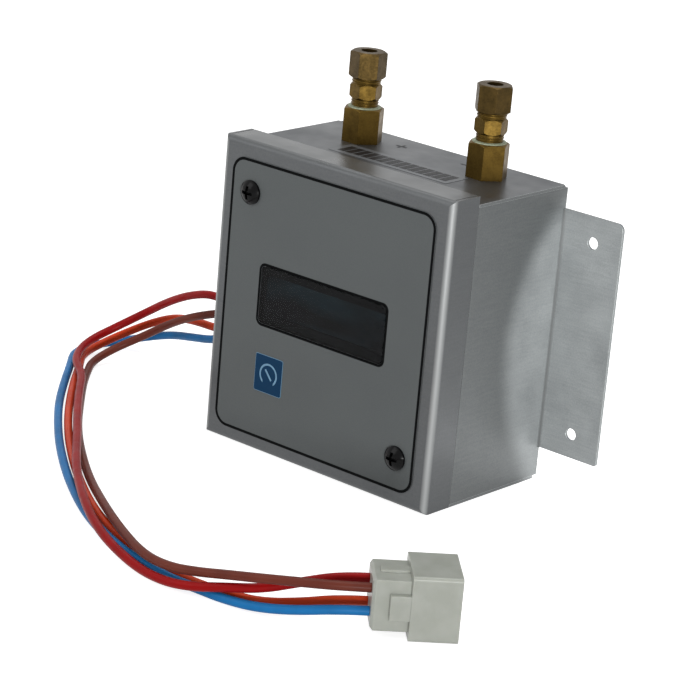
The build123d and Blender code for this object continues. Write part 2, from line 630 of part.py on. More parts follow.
def make_cover_screws():
    """The two black screws that hold the cover."""
    one = screw(SCREW_HEAD_DIAMETER, SCREW_HEAD_HEIGHT, SCREW_HEAD_RIM, SCREW_DIAMETER, SCREW_LENGTH)
    return [facing_front(one, x, OVERLAY_Y, z) for x, z in SCREW_PLACES]


def make_standoff(flats, length, shank, bore, bore_depth):
    """Hexagonal standoff: clinched shank below z = 0 and a threaded hole in its top."""
    post = hex_bar(flats, 0, length, high_chamfer=True)
    post += rod(shank - 2 * SEAT_CLEARANCE, -SHEET, 0)
    return post - rod(bore + 2 * THREAD_CLEARANCE, length - bore_depth, length)


def make_cover_standoffs():
    """Long posts from the back plate to the cover."""
    post = make_standoff(STANDOFF_FLATS, BACK_PLATE_Y - COVER_BACK_Y, STANDOFF_SHANK_DIAMETER,
                         SCREW_DIAMETER, STANDOFF_BORE_DEPTH)
    return [facing_front(post, x, BACK_PLATE_Y, z) for x, z in SCREW_PLACES]


def make_display_studs():
    """Flush studs in the cover, hidden by the overlay."""
    stud = rod(STUD_HEAD_DIAMETER - 2 * SEAT_CLEARANCE, 0, SHEET) + rod(STUD_DIAMETER, -STUD_LENGTH, 0)
    return [facing_front(stud, x, COVER_BACK_Y, z) for x, z in DISPLAY_HOLES]


def make_display_spacers():
    """Tubes on the studs between the cover and the display board."""
    length = DISPLAY_BOARD_Y - COVER_BACK_Y
    spacer = rod(SPACER_DIAMETER, -length, 0) - rod(STUD_DIAMETER + 2 * STUD_CLEARANCE, -length, 0)
    return [facing_front(spacer, x, COVER_BACK_Y, z) for x, z in DISPLAY_HOLES]


def make_display_nuts():
    """Nuts behind the display board."""
    nut = hex_bar(STUD_NUT_FLATS, -STUD_NUT_HEIGHT, 0, low_chamfer=True)
    nut -= rod(STUD_DIAMETER + 2 * THREAD_CLEARANCE, -STUD_NUT_HEIGHT, 0)
    return [facing_front(nut, x, DISPLAY_BACK_Y, z) for x, z in DISPLAY_HOLES]


def make_display_board():
    """Circuit board of the display."""
    sketch = rounded(DISPLAY_BOARD_WIDTH, DISPLAY_BOARD_HEIGHT, 0.8, WINDOW_X, WINDOW_Z)
    for x, z in DISPLAY_HOLES:
        sketch -= Pos(x, z) * Circle(STUD_DIAMETER / 2 + STUD_CLEARANCE)
    return panel(sketch, DISPLAY_BOARD_Y, DISPLAY_BACK_Y)


def make_display_bezel():
    """Pressed frame round the display glass, open at the back."""
    low_x, high_x = WINDOW_X - BEZEL_WIDTH / 2, WINDOW_X + BEZEL_WIDTH / 2
    low_z, high_z = WINDOW_Z - BEZEL_HEIGHT / 2, WINDOW_Z + BEZEL_HEIGHT / 2
    bezel = block(low_x, high_x, BEZEL_Y, DISPLAY_BOARD_Y, low_z, high_z)
    bezel -= block(low_x + BEZEL_WALL, high_x - BEZEL_WALL, BEZEL_Y + BEZEL_WALL, DISPLAY_BOARD_Y + 1,
                   low_z + BEZEL_WALL, high_z - BEZEL_WALL)
    view = rounded(BEZEL_WIDTH - 2 * VIEW_INSET_X, BEZEL_HEIGHT - 2 * VIEW_INSET_Z, BEZEL_WALL,
                   WINDOW_X, WINDOW_Z)
    return bezel - panel(view, BEZEL_Y - 1, BEZEL_Y + BEZEL_WALL + 0.1)


def make_display_layer(front, back):
    """Flat layer inside the bezel, glass or light guide."""
    half_x = BEZEL_WIDTH / 2 - BEZEL_WALL - STUD_CLEARANCE
    half_z = BEZEL_HEIGHT / 2 - BEZEL_WALL - STUD_CLEARANCE
    return block(WINDOW_X - half_x, WINDOW_X + half_x, front, back, WINDOW_Z - half_z, WINDOW_Z + half_z)


def make_main_board():
    """Circuit board on the back plate."""
    middle_z = (MAIN_BOARD_BOTTOM + MAIN_BOARD_TOP) / 2
    sketch = rounded(MAIN_BOARD_WIDTH, MAIN_BOARD_TOP - MAIN_BOARD_BOTTOM, 1.5, 0, middle_z)
    for x, z in MAIN_BOARD_HOLES:
        sketch -= Pos(x, z) * Circle(BOARD_SCREW_DIAMETER / 2 + BOARD_HOLE_CLEARANCE)
    return panel(sketch, MAIN_BOARD_Y, MAIN_BOARD_BACK_Y)


def make_board_standoffs():
    """Short posts under the main board."""
    post = make_standoff(BOARD_STANDOFF_FLATS, BOARD_STANDOFF_HEIGHT, BOARD_STANDOFF_SHANK,
                         BOARD_SCREW_DIAMETER, BOARD_SCREW_LENGTH)
    return [facing_front(post, x, BACK_PLATE_Y, z) for x, z in MAIN_BOARD_HOLES]


def small_screw():
    """Screw of the boards and the pressure cell."""
    return screw(BOARD_SCREW_HEAD, BOARD_SCREW_HEAD_HEIGHT, BOARD_SCREW_RIM, BOARD_SCREW_DIAMETER,
                 BOARD_SCREW_LENGTH)


def make_board_screws():
    """Screws that hold the main board."""
    return [facing_front(small_screw(), x, MAIN_BOARD_Y, z) for x, z in MAIN_BOARD_HOLES]


def barb_outline(bottom, top, ridge_radius, ridges):
    """Outline points of a barbed stem, from its free end at the bottom to its root at the top."""
    step = (top - bottom) / ridges
    outline = [(0, bottom)]
    for index in range(ridges):
        low = bottom + index * step
        outline += [(ridge_radius - BARB_GROOVE, low), (ridge_radius, low + step * 0.75)]
        outline.append((ridge_radius - BARB_GROOVE, low + step * 0.76))
    outline += [(ridge_radius - BARB_GROOVE, top), (0, top)]
    return outline


def make_barb():
    """Bulkhead hose barb: stem down, hexagonal flange, stub up through the top plate."""
    stem_radius = BARB_DIAMETER / 2 - SEAT_CLEARANCE
    stem_end = BARB_FLANGE_BOTTOM - BARB_LENGTH
    barb = turned(barb_outline(stem_end, BARB_FLANGE_BOTTOM, stem_radius, BARB_RIDGES))
    barb += hex_bar(COUPLING_FLATS, BARB_FLANGE_BOTTOM, BARB_FLANGE_TOP, low_chamfer=True)
    barb += rod(PIPE_THREAD_DIAMETER, BARB_FLANGE_TOP, PLATE_TOP + BARB_STUB_HEIGHT)
    return barb - rod(BARB_BORE, stem_end - 1, PLATE_TOP + BARB_STUB_HEIGHT + 1)


def make_barb_washers():
    """Flat sealing washers under the top plate."""
    washer = rod(BARB_WASHER_DIAMETER, BARB_FLANGE_TOP, PLATE_UNDER)
    washer -= rod(PIPE_THREAD_DIAMETER + 2 * STUD_CLEARANCE, BARB_FLANGE_TOP - 1, PLATE_UNDER + 1)
    return [Pos(x, FITTING_Y, 0) * washer for x in FITTING_XS]


def cell_port_x(side):
    """X of the cell's port on one side, -1 left or 1 right."""
    return CELL_X + side * CELL_PORT_SPACING / 2


def make_pressure_cell():
    """Moulded sensing cell: base with two screw ears, body and two barbed ports."""
    half, base_half = CELL_WIDTH / 2, CELL_WIDTH / 2 + CELL_BASE_EXTRA
    top = CELL_BOTTOM + CELL_HEIGHT
    base = block(CELL_X - base_half, CELL_X + base_half, MAIN_BOARD_Y - CELL_BASE_THICKNESS, MAIN_BOARD_Y,
                 CELL_BOTTOM, top)
    body = block(CELL_X - half, CELL_X + half, FITTING_Y - CELL_FRONT_MARGIN,
                 MAIN_BOARD_Y - CELL_BASE_THICKNESS, CELL_BOTTOM, top)
    body = fillet(body.edges().filter_by(Axis.Z), CELL_EDGE_RADIUS)
    cell = base + body
    for side in (-1, 1):
        radius = BARB_DIAMETER / 2 - SEAT_CLEARANCE
        port = turned(barb_outline(-CELL_PORT_LENGTH, 0, radius, CELL_PORT_RIDGES))
        port -= rod(BARB_BORE, -CELL_PORT_LENGTH - 1, 0)
        cell += Pos(cell_port_x(side), FITTING_Y, top) * Rot(180, 0, 0) * port
        hole_x = CELL_X + side * (half + CELL_BASE_EXTRA / 2)
        hole = rod(BOARD_SCREW_DIAMETER + 2 * BOARD_HOLE_CLEARANCE, -1, CELL_BASE_THICKNESS + 1)
        cell -= facing_front(hole, hole_x, MAIN_BOARD_Y, CELL_BOTTOM + CELL_HEIGHT / 2)
    return cell


def make_cell_screws():
    """Two short screws through the ears of the cell, seated on its base."""
    one = screw(CELL_SCREW_HEAD, BOARD_SCREW_HEAD_HEIGHT, BOARD_SCREW_RIM, BOARD_SCREW_DIAMETER,
                CELL_BASE_THICKNESS)
    half = CELL_WIDTH / 2 + CELL_BASE_EXTRA / 2
    y, z = MAIN_BOARD_Y - CELL_BASE_THICKNESS, CELL_BOTTOM + CELL_HEIGHT / 2
    return [facing_front(one, CELL_X + side * half, y, z) for side in (-1, 1)]


def make_sensor_tube(side):
    """Soft tube from a hose barb to the cell's port on the same side."""
    top_x, low_x = FITTING_XS[(side + 1) // 2], cell_port_x(side)
    cell_top = CELL_BOTTOM + CELL_HEIGHT
    places = [
        (top_x, FITTING_Y, BARB_FLANGE_BOTTOM), (top_x, FITTING_Y, PLATE_TOP - TUBE_BEND_BELOW_PLATE),
        (low_x, FITTING_Y, cell_top + TUBE_BEND_ABOVE_CELL), (low_x, FITTING_Y, cell_top),
    ]
    return tube_along(places, BARB_DIAMETER + 2 * TUBE_WALL, BARB_DIAMETER)[0]


def make_coupling(corner):
    """Hexagonal coupling on the top plate, threaded at both ends."""
    coupling = hex_bar(COUPLING_FLATS, 0, COUPLING_HEIGHT, corner, high_chamfer=True)
    coupling -= rod(COUPLING_BORE, -1, COUPLING_HEIGHT + 1)
    bore = PIPE_THREAD_DIAMETER + 2 * THREAD_CLEARANCE
    coupling -= rod(bore, -1, COUPLING_THREAD_DEPTH)
    return coupling - rod(bore, COUPLING_HEIGHT - COUPLING_THREAD_DEPTH, COUPLING_HEIGHT + 1)


def make_compression_body(corner):
    """Tube fitting body: pipe thread, hexagon, nut thread with a conical mouth."""
    body = rod(PIPE_THREAD_DIAMETER, COUPLING_HEIGHT - BODY_THREAD_DEPTH, BODY_HEX_BOTTOM)
    body += hex_bar(BODY_FLATS, BODY_HEX_BOTTOM, BODY_HEX_TOP, corner, True, True, BODY_CHAMFER_ANGLE)
    body += rod(NUT_THREAD_DIAMETER, BODY_HEX_TOP, BODY_TOP)
    body -= rod(BODY_BORE, 0, BODY_TOP)
    body -= rod(TUBE_HOLE_DIAMETER, TUBE_STOP, BODY_TOP + 1)
    hole = TUBE_HOLE_DIAMETER / 2
    return body - turned([
        (0, BODY_TOP - CONE_DEPTH), (hole, BODY_TOP - CONE_DEPTH), (hole + CONE_WIDTH, BODY_TOP),
        (0, BODY_TOP)])


def make_ferrule():
    """Sealing ring: a cone that sits in the body's mouth and a short barrel above it."""
    hole = TUBE_HOLE_DIAMETER / 2
    seat = BODY_TOP - CONE_DEPTH
    top = NUT_TOP - NUT_CEILING - FERRULE_TO_NUT
    slope = CONE_WIDTH / CONE_DEPTH
    middle = (seat + top) / 2
    start = seat + FERRULE_EDGE / slope
    return turned([
        (hole, start), (hole + FERRULE_EDGE, start), (hole + CONE_WIDTH, BODY_TOP),
        (hole + FERRULE_WALL, middle), (hole + FERRULE_WALL, top - FERRULE_EDGE),
        (hole + FERRULE_WALL - FERRULE_EDGE, top), (hole, top)])


def make_nut(corner):
    """Tube nut that turns on the body's thread."""
    nut = hex_bar(NUT_FLATS, NUT_BOTTOM, NUT_TOP, corner, True, True)
    nut -= rod(NUT_THREAD_DIAMETER + 2 * NUT_RUNNING_CLEARANCE, NUT_BOTTOM - 1, NUT_TOP - NUT_CEILING)
    return nut - rod(TUBE_HOLE_DIAMETER, NUT_BOTTOM, NUT_TOP + 1)


def make_thread_tape():
    """Ring of sealing tape squeezed out above the coupling."""
    inside = PIPE_THREAD_DIAMETER / 2 + SEAT_CLEARANCE
    outside = inside + TAPE_WIDTH
    bottom, top = COUPLING_HEIGHT, COUPLING_HEIGHT + TAPE_HEIGHT
    return turned([
        (inside, bottom), (outside, bottom), (outside - TAPE_EDGE, top - TAPE_EDGE),
        (inside + TAPE_EDGE, top), (inside, top)])


def on_fitting(side, shape):
    """Places a part of the fitting on the top plate, on one side."""
    return Pos(FITTING_XS[side], FITTING_Y, PLATE_TOP) * shape


def make_terminal_block():
    """Four-way screw terminal with its wire entries on the left."""
    half = TERMINAL_PITCH * TERMINAL_COUNT / 2 + TERMINAL_END_WALL
    front = MAIN_BOARD_Y - TERMINAL_DEPTH
    terminal = block(TERMINAL_LEFT, TERMINAL_LEFT + TERMINAL_WIDTH, front, MAIN_BOARD_Y,
                     TERMINAL_Z - half, TERMINAL_Z + half)
    edge = terminal.edges().filter_by(Axis.Z).group_by(Axis.Y)[0].sort_by(Axis.X)[0]
    terminal = chamfer(edge, TERMINAL_CHAMFER)
    for z in terminal_heights():
        entry = rod(LEAD_DIAMETER + 2 * STUD_CLEARANCE, -1, TERMINAL_ENTRY_DEPTH)
        terminal -= facing_right(entry, TERMINAL_LEFT, MAIN_BOARD_Y - TERMINAL_ENTRY_FROM_BOARD, z)
        well = rod(TERMINAL_WELL_DIAMETER, -TERMINAL_WELL_DEPTH, 1)
        terminal -= facing_front(well, TERMINAL_LEFT + TERMINAL_WIDTH / 2, front, z)
    return terminal


def terminal_heights():
    """Height of each way of the terminal block, from the top down."""
    first = TERMINAL_Z + TERMINAL_PITCH * (TERMINAL_COUNT - 1) / 2
    return [first - TERMINAL_PITCH * index for index in range(TERMINAL_COUNT)]


def make_terminal_screws():
    """Slotted screws at the bottom of the wells."""
    head = rod(TERMINAL_WELL_DIAMETER - 2 * SEAT_CLEARANCE, 0, TERMINAL_SCREW_HEIGHT)
    slot = Box(TERMINAL_WELL_DIAMETER, TERMINAL_SLOT, TERMINAL_SCREW_HEIGHT)
    head -= Pos(0, 0, TERMINAL_SCREW_HEIGHT) * slot
    y = MAIN_BOARD_Y - TERMINAL_DEPTH + TERMINAL_WELL_DEPTH
    return [facing_front(head, TERMINAL_LEFT + TERMINAL_WIDTH / 2, y, z) for z in terminal_heights()]


def make_headers():
    """Ribbon sockets, one on each board."""
    x0, x1 = HEADER_X - HEADER_WIDTH / 2, HEADER_X + HEADER_WIDTH / 2
    main = block(x0, x1, MAIN_BOARD_Y - HEADER_DEPTH, MAIN_BOARD_Y,
                 HEADER_MAIN_Z - HEADER_HEIGHT / 2, HEADER_MAIN_Z + HEADER_HEIGHT / 2)
    z = display_header_z()
    display = block(x0, x1, DISPLAY_BACK_Y, DISPLAY_BACK_Y + HEADER_DEPTH,
                    z - HEADER_HEIGHT / 2, z + HEADER_HEIGHT / 2)
    return [display, main]


def display_header_z():
    """Height of the socket on the display board, beside its lower edge."""
    return WINDOW_Z - DISPLAY_BOARD_HEIGHT / 2 + HEADER_HEIGHT / 2 + 1.0


def make_ribbon():
    """Flat ribbon folded between the two sockets."""
    high, low = display_header_z(), HEADER_MAIN_Z - RIBBON_THICKNESS / 2
    start, end = DISPLAY_BACK_Y + HEADER_DEPTH, MAIN_BOARD_Y - HEADER_DEPTH
    drop = (start + end) / 2
    path = [(start, high), (drop, high), (drop, low), (end, low)]
    section = folded_section(path, RIBBON_THICKNESS, RIBBON_BEND)
    return Pos(HEADER_X - RIBBON_WIDTH / 2, 0, 0) * extrude(Plane.YZ * section, amount=RIBBON_WIDTH)


def make_board_chips():
    """Moulded chips on the main board."""
    chips = [
        (0, MAIN_BOARD_TOP - PROCESSOR_FROM_TOP, PROCESSOR_SIZE, PROCESSOR_SIZE),
        (AMPLIFIER_X, AMPLIFIER_Z, AMPLIFIER_LENGTH, AMPLIFIER_WIDTH),
        (REFERENCE_X, REFERENCE_Z, REFERENCE_LENGTH, REFERENCE_WIDTH),
        (REGULATOR_X, MAIN_BOARD_BOTTOM + REGULATOR_FROM_BOTTOM, AMPLIFIER_LENGTH, AMPLIFIER_WIDTH),
    ]
    return [
        block(x - width / 2, x + width / 2, MAIN_BOARD_Y - CHIP_THICKNESS, MAIN_BOARD_Y,
              z - height / 2, z + height / 2)
        for x, z, width, height in chips
    ]


def cell_side_x():
    """X of the first column beside the pressure cell's base."""
    return CELL_X + CELL_WIDTH / 2 + CELL_BASE_EXTRA + CAPACITOR_FROM_CELL


def make_board_capacitors():
    """Round electrolytic capacitors beside the cell."""
    can = fillet(rod(CAPACITOR_DIAMETER, 0, CAPACITOR_HEIGHT).edges(), CAPACITOR_EDGE)
    middle = CELL_BOTTOM + CELL_HEIGHT / 2
    heights = (middle - CAPACITOR_PITCH / 2, middle + CAPACITOR_PITCH / 2)
    return [facing_front(can, cell_side_x(), MAIN_BOARD_Y, z) for z in heights]


def make_trim_pots():
    """Two multi-turn trimmers for zero and span, above the capacitors."""
    pots = []
    x, front = cell_side_x(), MAIN_BOARD_Y - TRIM_HEIGHT
    first = CELL_BOTTOM + CELL_HEIGHT + TRIM_ABOVE_CELL
    for z in (first, first + TRIM_PITCH):
        pot = block(x - TRIM_LENGTH / 2, x + TRIM_LENGTH / 2, front, MAIN_BOARD_Y,
                    z - TRIM_WIDTH / 2, z + TRIM_WIDTH / 2)
        screw_head = rod(TRIM_SCREW_DIAMETER, 0, TRIM_SCREW_HEIGHT)
        pot += facing_front(screw_head, x - TRIM_SCREW_DIAMETER, front, z)
        pots.append(pot)
    return pots


def lead_seat(name):
    """Y and Z of a lead in the grommet."""
    y_side, z_side = LEAD_SEATS[name]
    return GROMMET_Y + y_side * LEAD_PITCH / 2, GROMMET_Z + z_side * LEAD_PITCH / 2


def make_grommet():
    """Rubber bush that snaps into the side plate, with four lead holes."""
    wall, groove = SHEET, GROMMET_HOLE_DIAMETER / 2 - SEAT_CLEARANCE
    flange = GROMMET_FLANGE_DIAMETER / 2
    bush = turned([
        (0, -GROMMET_OUTER_HEIGHT), (flange - GROMMET_EDGE, -GROMMET_OUTER_HEIGHT),
        (flange, GROMMET_EDGE - GROMMET_OUTER_HEIGHT), (flange, 0), (groove, 0), (groove, wall),
        (flange, wall), (flange, wall + GROMMET_EDGE), (groove, wall + GROMMET_INNER_HEIGHT),
        (0, wall + GROMMET_INNER_HEIGHT)])
    bush = facing_right(bush, -HALF_WIDTH, GROMMET_Y, GROMMET_Z)
    for name in LEAD_SEATS:
        y, z = lead_seat(name)
        bush -= facing_right(rod(LEAD_DIAMETER, -1, 10), GROMMET_FACE_X, y, z)
    return bush


def make_lead_tails():
    """Inner ends of the leads, from the grommet's outer face to the terminal block."""
    tails = []
    entry_y = MAIN_BOARD_Y - TERMINAL_ENTRY_FROM_BOARD
    for name, height in zip(("red", "brown", "orange", "blue"), terminal_heights()):
        y, z = lead_seat(name)
        end_x = TERMINAL_LEFT + TERMINAL_ENTRY_DEPTH
        places = [
            (GROMMET_FACE_X, y, z), (GROMMET_FACE_X + TAIL_STRAIGHT, y, z),
            (TERMINAL_LEFT - TAIL_RUN_IN, entry_y, height), (end_x, entry_y, height)]
        tails.append(tube_along(places, LEAD_DIAMETER)[0])
    return tails


def make_port_label():
    """Thin label on the top plate."""
    sketch = Pos(LABEL_X, LABEL_Y) * RectangleRounded(LABEL_WIDTH, LABEL_LENGTH, LABEL_RADIUS)
    return Pos(0, 0, PLATE_TOP) * extrude(sketch, amount=LABEL_THICKNESS)


def make_label_print():
    """Row of plain bars on the label."""
    bars = []
    first = LABEL_X - BAR_PITCH * (BAR_COUNT - 1) / 2
    base = PLATE_TOP + LABEL_THICKNESS
    for index in range(BAR_COUNT):
        x = first + index * BAR_PITCH
        bars.append(block(x - BAR_WIDTH / 2, x + BAR_WIDTH / 2, LABEL_Y - BAR_LENGTH / 2,
                          LABEL_Y + BAR_LENGTH / 2, base, base + PRINT_THICKNESS))
    return bars


def make_port_marks():
    """Plus and minus signs that tell the two ports apart."""
    marks = []
    y = FITTING_Y + MARK_BEHIND_FITTINGS
    for side, x in ((-1, FITTING_XS[0] + MARK_INSET), (1, FITTING_XS[1] - MARK_INSET)):
        mark = block(x - MARK_SIZE / 2, x + MARK_SIZE / 2, y - MARK_LINE / 2, y + MARK_LINE / 2,
                     PLATE_TOP, PLATE_TOP + PRINT_THICKNESS)
        if side < 0:
            mark += block(x - MARK_LINE / 2, x + MARK_LINE / 2, y - MARK_SIZE / 2, y + MARK_SIZE / 2,
                          PLATE_TOP, PLATE_TOP + PRINT_THICKNESS)
        marks.append(mark)
    return marks


def on_plug(shape):
    """Places a part of the plug, modelled with its wire face at x = 0 and its axis along +X."""
    return Pos(PLUG_PLACE[0], FRONT_Y + PLUG_PLACE[1], PLUG_Z) * Rot(0, 0, PLUG_HEADING) * shape


def make_plug_housing():
    """Moulded four-way housing: wire block, larger collar, cavity and two latch steps."""
    block_half, collar_half = PLUG_BLOCK_SIZE / 2, PLUG_COLLAR_SIZE / 2
    wire_end = block(0, PLUG_BLOCK_LENGTH + 1, -block_half, block_half, -block_half, block_half)
    wire_end = chamfer(wire_end.faces().sort_by(Axis.X)[0].edges(), PLUG_CHAMFER)
    collar = block(PLUG_BLOCK_LENGTH, PLUG_LENGTH, -collar_half, collar_half, -collar_half, collar_half)
    collar = fillet(collar.edges().filter_by(Axis.X), 1.2)
    housing = wire_end + collar
    cavity_half = collar_half - PLUG_WALL
    housing -= block(PLUG_LENGTH - PLUG_CAVITY_DEPTH, PLUG_LENGTH + 1, -cavity_half, cavity_half,
                     -cavity_half, cavity_half)
    for side in (-1, 1):
        y0, y1 = sorted((side * block_half, side * (collar_half - 0.2)))
        housing += block(PLUG_BLOCK_LENGTH - LATCH_LENGTH, PLUG_BLOCK_LENGTH + 0.5, y0, y1,
                         -LATCH_WIDTH / 2, LATCH_WIDTH / 2)
    rib = block(3.0, PLUG_BLOCK_LENGTH + 0.5, -LATCH_WIDTH / 4, LATCH_WIDTH / 4,
                block_half - 0.1, block_half + LATCH_DEPTH)
    housing += rib
    for y in (-PLUG_PORT_PITCH / 2, PLUG_PORT_PITCH / 2):
        for z in (-PLUG_PORT_PITCH / 2, PLUG_PORT_PITCH / 2):
            hole = rod(PIN_DIAMETER + 2 * PIN_CLEARANCE, PIN_SEAT_DEPTH, PLUG_LENGTH)
            housing -= facing_right(hole, 0, y, z)
    return on_plug(housing)


def make_plug_pins():
    """Four round contacts standing in the cavity."""
    tip = PLUG_LENGTH - PIN_BELOW_RIM
    pin = chamfer(rod(PIN_DIAMETER, PIN_SEAT_DEPTH, tip).edges().sort_by(Axis.Z)[-1], 0.4)
    half = PLUG_PORT_PITCH / 2
    return [on_plug(facing_right(pin, 0, y, z)) for y in (-half, half) for z in (-half, half)]


def write(name, shape):
    """Writes one node, a solid or a list of solids, as a STEP file."""
    solids = []
    for piece in (shape if isinstance(shape, list) else [shape]):
        solids.extend(piece.solids())
    whole = solids[0] if len(solids) == 1 else Compound(children=solids)
    whole.label = name
    export_step(whole, f"parts/{name}.step")


os.makedirs("parts", exist_ok=True)
write("chassis", make_chassis())
write("side_plate_right", make_side_plate())
write("side_plate_left", make_left_side_plate())
write("front_cover", make_front_cover())
write("front_overlay", make_overlay())
write("overlay_print", make_overlay_print())
write("badge", make_badge())
write("badge_print", make_badge_print())
write("window_lens", make_window_lens())
write("cover_screws", make_cover_screws())
write("cover_standoffs", make_cover_standoffs())
write("display_studs", make_display_studs())
write("display_spacers", make_display_spacers())
write("display_nuts", make_display_nuts())
write("display_board", make_display_board())
write("display_bezel", make_display_bezel())
glass_y = BEZEL_Y + BEZEL_WALL
write("display_glass", make_display_layer(glass_y, glass_y + GLASS_DEPTH))
write("display_light_guide", make_display_layer(glass_y + GLASS_DEPTH, DISPLAY_BOARD_Y))
write("main_board", make_main_board())
write("board_standoffs", make_board_standoffs())
write("board_screws", make_board_screws())
write("pressure_cell", make_pressure_cell())
write("cell_screws", make_cell_screws())
write("board_chips", make_board_chips())
write("board_capacitors", make_board_capacitors())
write("trim_pots", make_trim_pots())
write("terminal_block", make_terminal_block())
write("terminal_screws", make_terminal_screws())
write("ribbon_sockets", make_headers())
write("ribbon_cable", make_ribbon())
write("barb_washers", make_barb_washers())
for index, side in enumerate(("left", "right")):
    write(f"hose_barb_{side}", Pos(FITTING_XS[index], FITTING_Y, 0) * make_barb())
    write(f"sensor_tube_{side}", make_sensor_tube(2 * index - 1))
    write(f"coupling_{side}", on_fitting(index, make_coupling(COUPLING_CORNERS[index])))
    write(f"compression_body_{side}", on_fitting(index, make_compression_body(BODY_CORNERS[index])))
    write(f"ferrule_{side}", on_fitting(index, make_ferrule()))
    write(f"nut_{side}", on_fitting(index, make_nut(NUT_CORNERS[index])))
    write(f"thread_tape_{side}", on_fitting(index, make_thread_tape()))
write("grommet", make_grommet())
write("lead_tails", make_lead_tails())
write("port_label", make_port_label())
write("label_print", make_label_print())
write("port_marks", make_port_marks())
write("plug_housing", make_plug_housing())
write("plug_pins", make_plug_pins())
for name, route in LEAD_ROUTES.items():
    places = [(x, FRONT_Y + y, z) for x, y, z in route]
    lead, path = tube_along(places, LEAD_DIAMETER)
    write(f"lead_{name}", lead)
    radii = route_radii([Vector(*place) for place in places])
    ratio = lead.volume / (math.pi * LEAD_DIAMETER ** 2 / 4 * path.length)
    print(f"lead_{name}: length {path.length:.1f}, volume / (section x length) {ratio:.4f}")
    print("  radii", " ".join(f"{radius:.0f}" for radius in radii))
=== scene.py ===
"""Looks of the differential pressure sensor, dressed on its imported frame."""

import logging
import math
from dataclasses import dataclass, field
from enum import Enum
from typing import Any

import bpy
from mathutils import Matrix, Vector


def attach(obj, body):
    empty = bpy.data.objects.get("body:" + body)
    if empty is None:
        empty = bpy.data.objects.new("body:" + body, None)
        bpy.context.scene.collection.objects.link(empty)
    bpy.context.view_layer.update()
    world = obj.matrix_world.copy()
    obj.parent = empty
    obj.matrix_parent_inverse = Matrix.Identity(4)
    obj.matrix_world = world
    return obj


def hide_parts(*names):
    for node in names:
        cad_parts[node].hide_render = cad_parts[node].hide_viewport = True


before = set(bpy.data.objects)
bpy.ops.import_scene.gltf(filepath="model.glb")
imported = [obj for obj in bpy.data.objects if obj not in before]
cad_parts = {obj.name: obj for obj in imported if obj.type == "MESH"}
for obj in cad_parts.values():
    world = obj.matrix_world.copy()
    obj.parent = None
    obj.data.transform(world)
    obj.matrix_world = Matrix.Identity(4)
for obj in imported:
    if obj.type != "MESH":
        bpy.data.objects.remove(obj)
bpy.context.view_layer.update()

LOG = logging.getLogger("sensor")
MM = 0.001
Point = tuple[float, float, float]
Limits = tuple[float, float]
Inputs = dict[Any, Any]
# The body that carries every piece added here, because the nuts take nothing more
CASE_BODY = "case"

# Planes of the sensor that its pieces share, in millimetres
FRONT_Y = -33.35
PLATE_TOP = 118.9
FITTING_XS = (-30.2, 32.4)
FITTING_Y = 16.45
MAIN_BOARD_Y = 25.75
MAIN_BOARD_BACK_Y = 27.35
# A face looks to a side when that part of its direction is larger than this
FACING = 0.7
# Samples of a softly broken edge, enough for one that is a fraction of a millimetre wide
EDGE_SAMPLES = 4


class Side(Enum):
    """The two gas ports."""

    LEFT = "left"
    RIGHT = "right"


def linear(colour: str) -> tuple[float, float, float, float]:
    """Turns an sRGB hex colour into the linear values that shaders use.

    Args:
        colour: Six hexadecimal digits, with or without a leading hash.

    Returns:
        Red, green, blue and an alpha of 1.
    """
    digits = colour.lstrip("#")
    values = [int(digits[i:i + 2], 16) / 255 for i in (0, 2, 4)]
    red, green, blue = [v / 12.92 if v <= 0.04045 else ((v + 0.055) / 1.055) ** 2.4 for v in values]
    return red, green, blue, 1.0


def per_metre(size_mm: float) -> float:
    """Pattern scale whose features are about that many millimetres across."""
    return 1000.0 / size_mm


def add_node(tree: bpy.types.NodeTree, kind: str, settings: Inputs | None = None,
             links: Inputs | None = None) -> bpy.types.Node:
    """Adds a node to a tree with its settings and its links.

    Args:
        tree: The shader or geometry tree.
        kind: Blender's name for the kind of node.
        settings: Properties by name, and unlinked inputs by name or number.
        links: What feeds each linked input, by the input's name or number. It is a socket, or a
            node whose first output is meant.

    Returns:
        The new node.
    """
    node = tree.nodes.new(kind)
    for key, value in (settings or {}).items():
        if isinstance(key, int) or key in node.inputs:
            node.inputs[key].default_value = value
        else:
            setattr(node, key, value)
    for key, source in (links or {}).items():
        socket = source.outputs[0] if isinstance(source, bpy.types.Node) else source
        tree.links.new(socket, node.inputs[key])
    return node


def weighed(tree: bpy.types.NodeTree, shares: list[tuple[bpy.types.Node, float]]) -> bpy.types.Node:
    """Adds up several patterns, each with its share.

    Args:
        tree: The material's tree.
        shares: Each pattern with its share.

    Returns:
        The node that gives the sum.
    """
    total = None
    for pattern, share in shares:
        links = {0: pattern} if total is None else {0: pattern, 2: total}
        total = add_node(tree, "ShaderNodeMath", {"operation": "MULTIPLY_ADD", 1: share, 2: 0.0}, links)
    return total


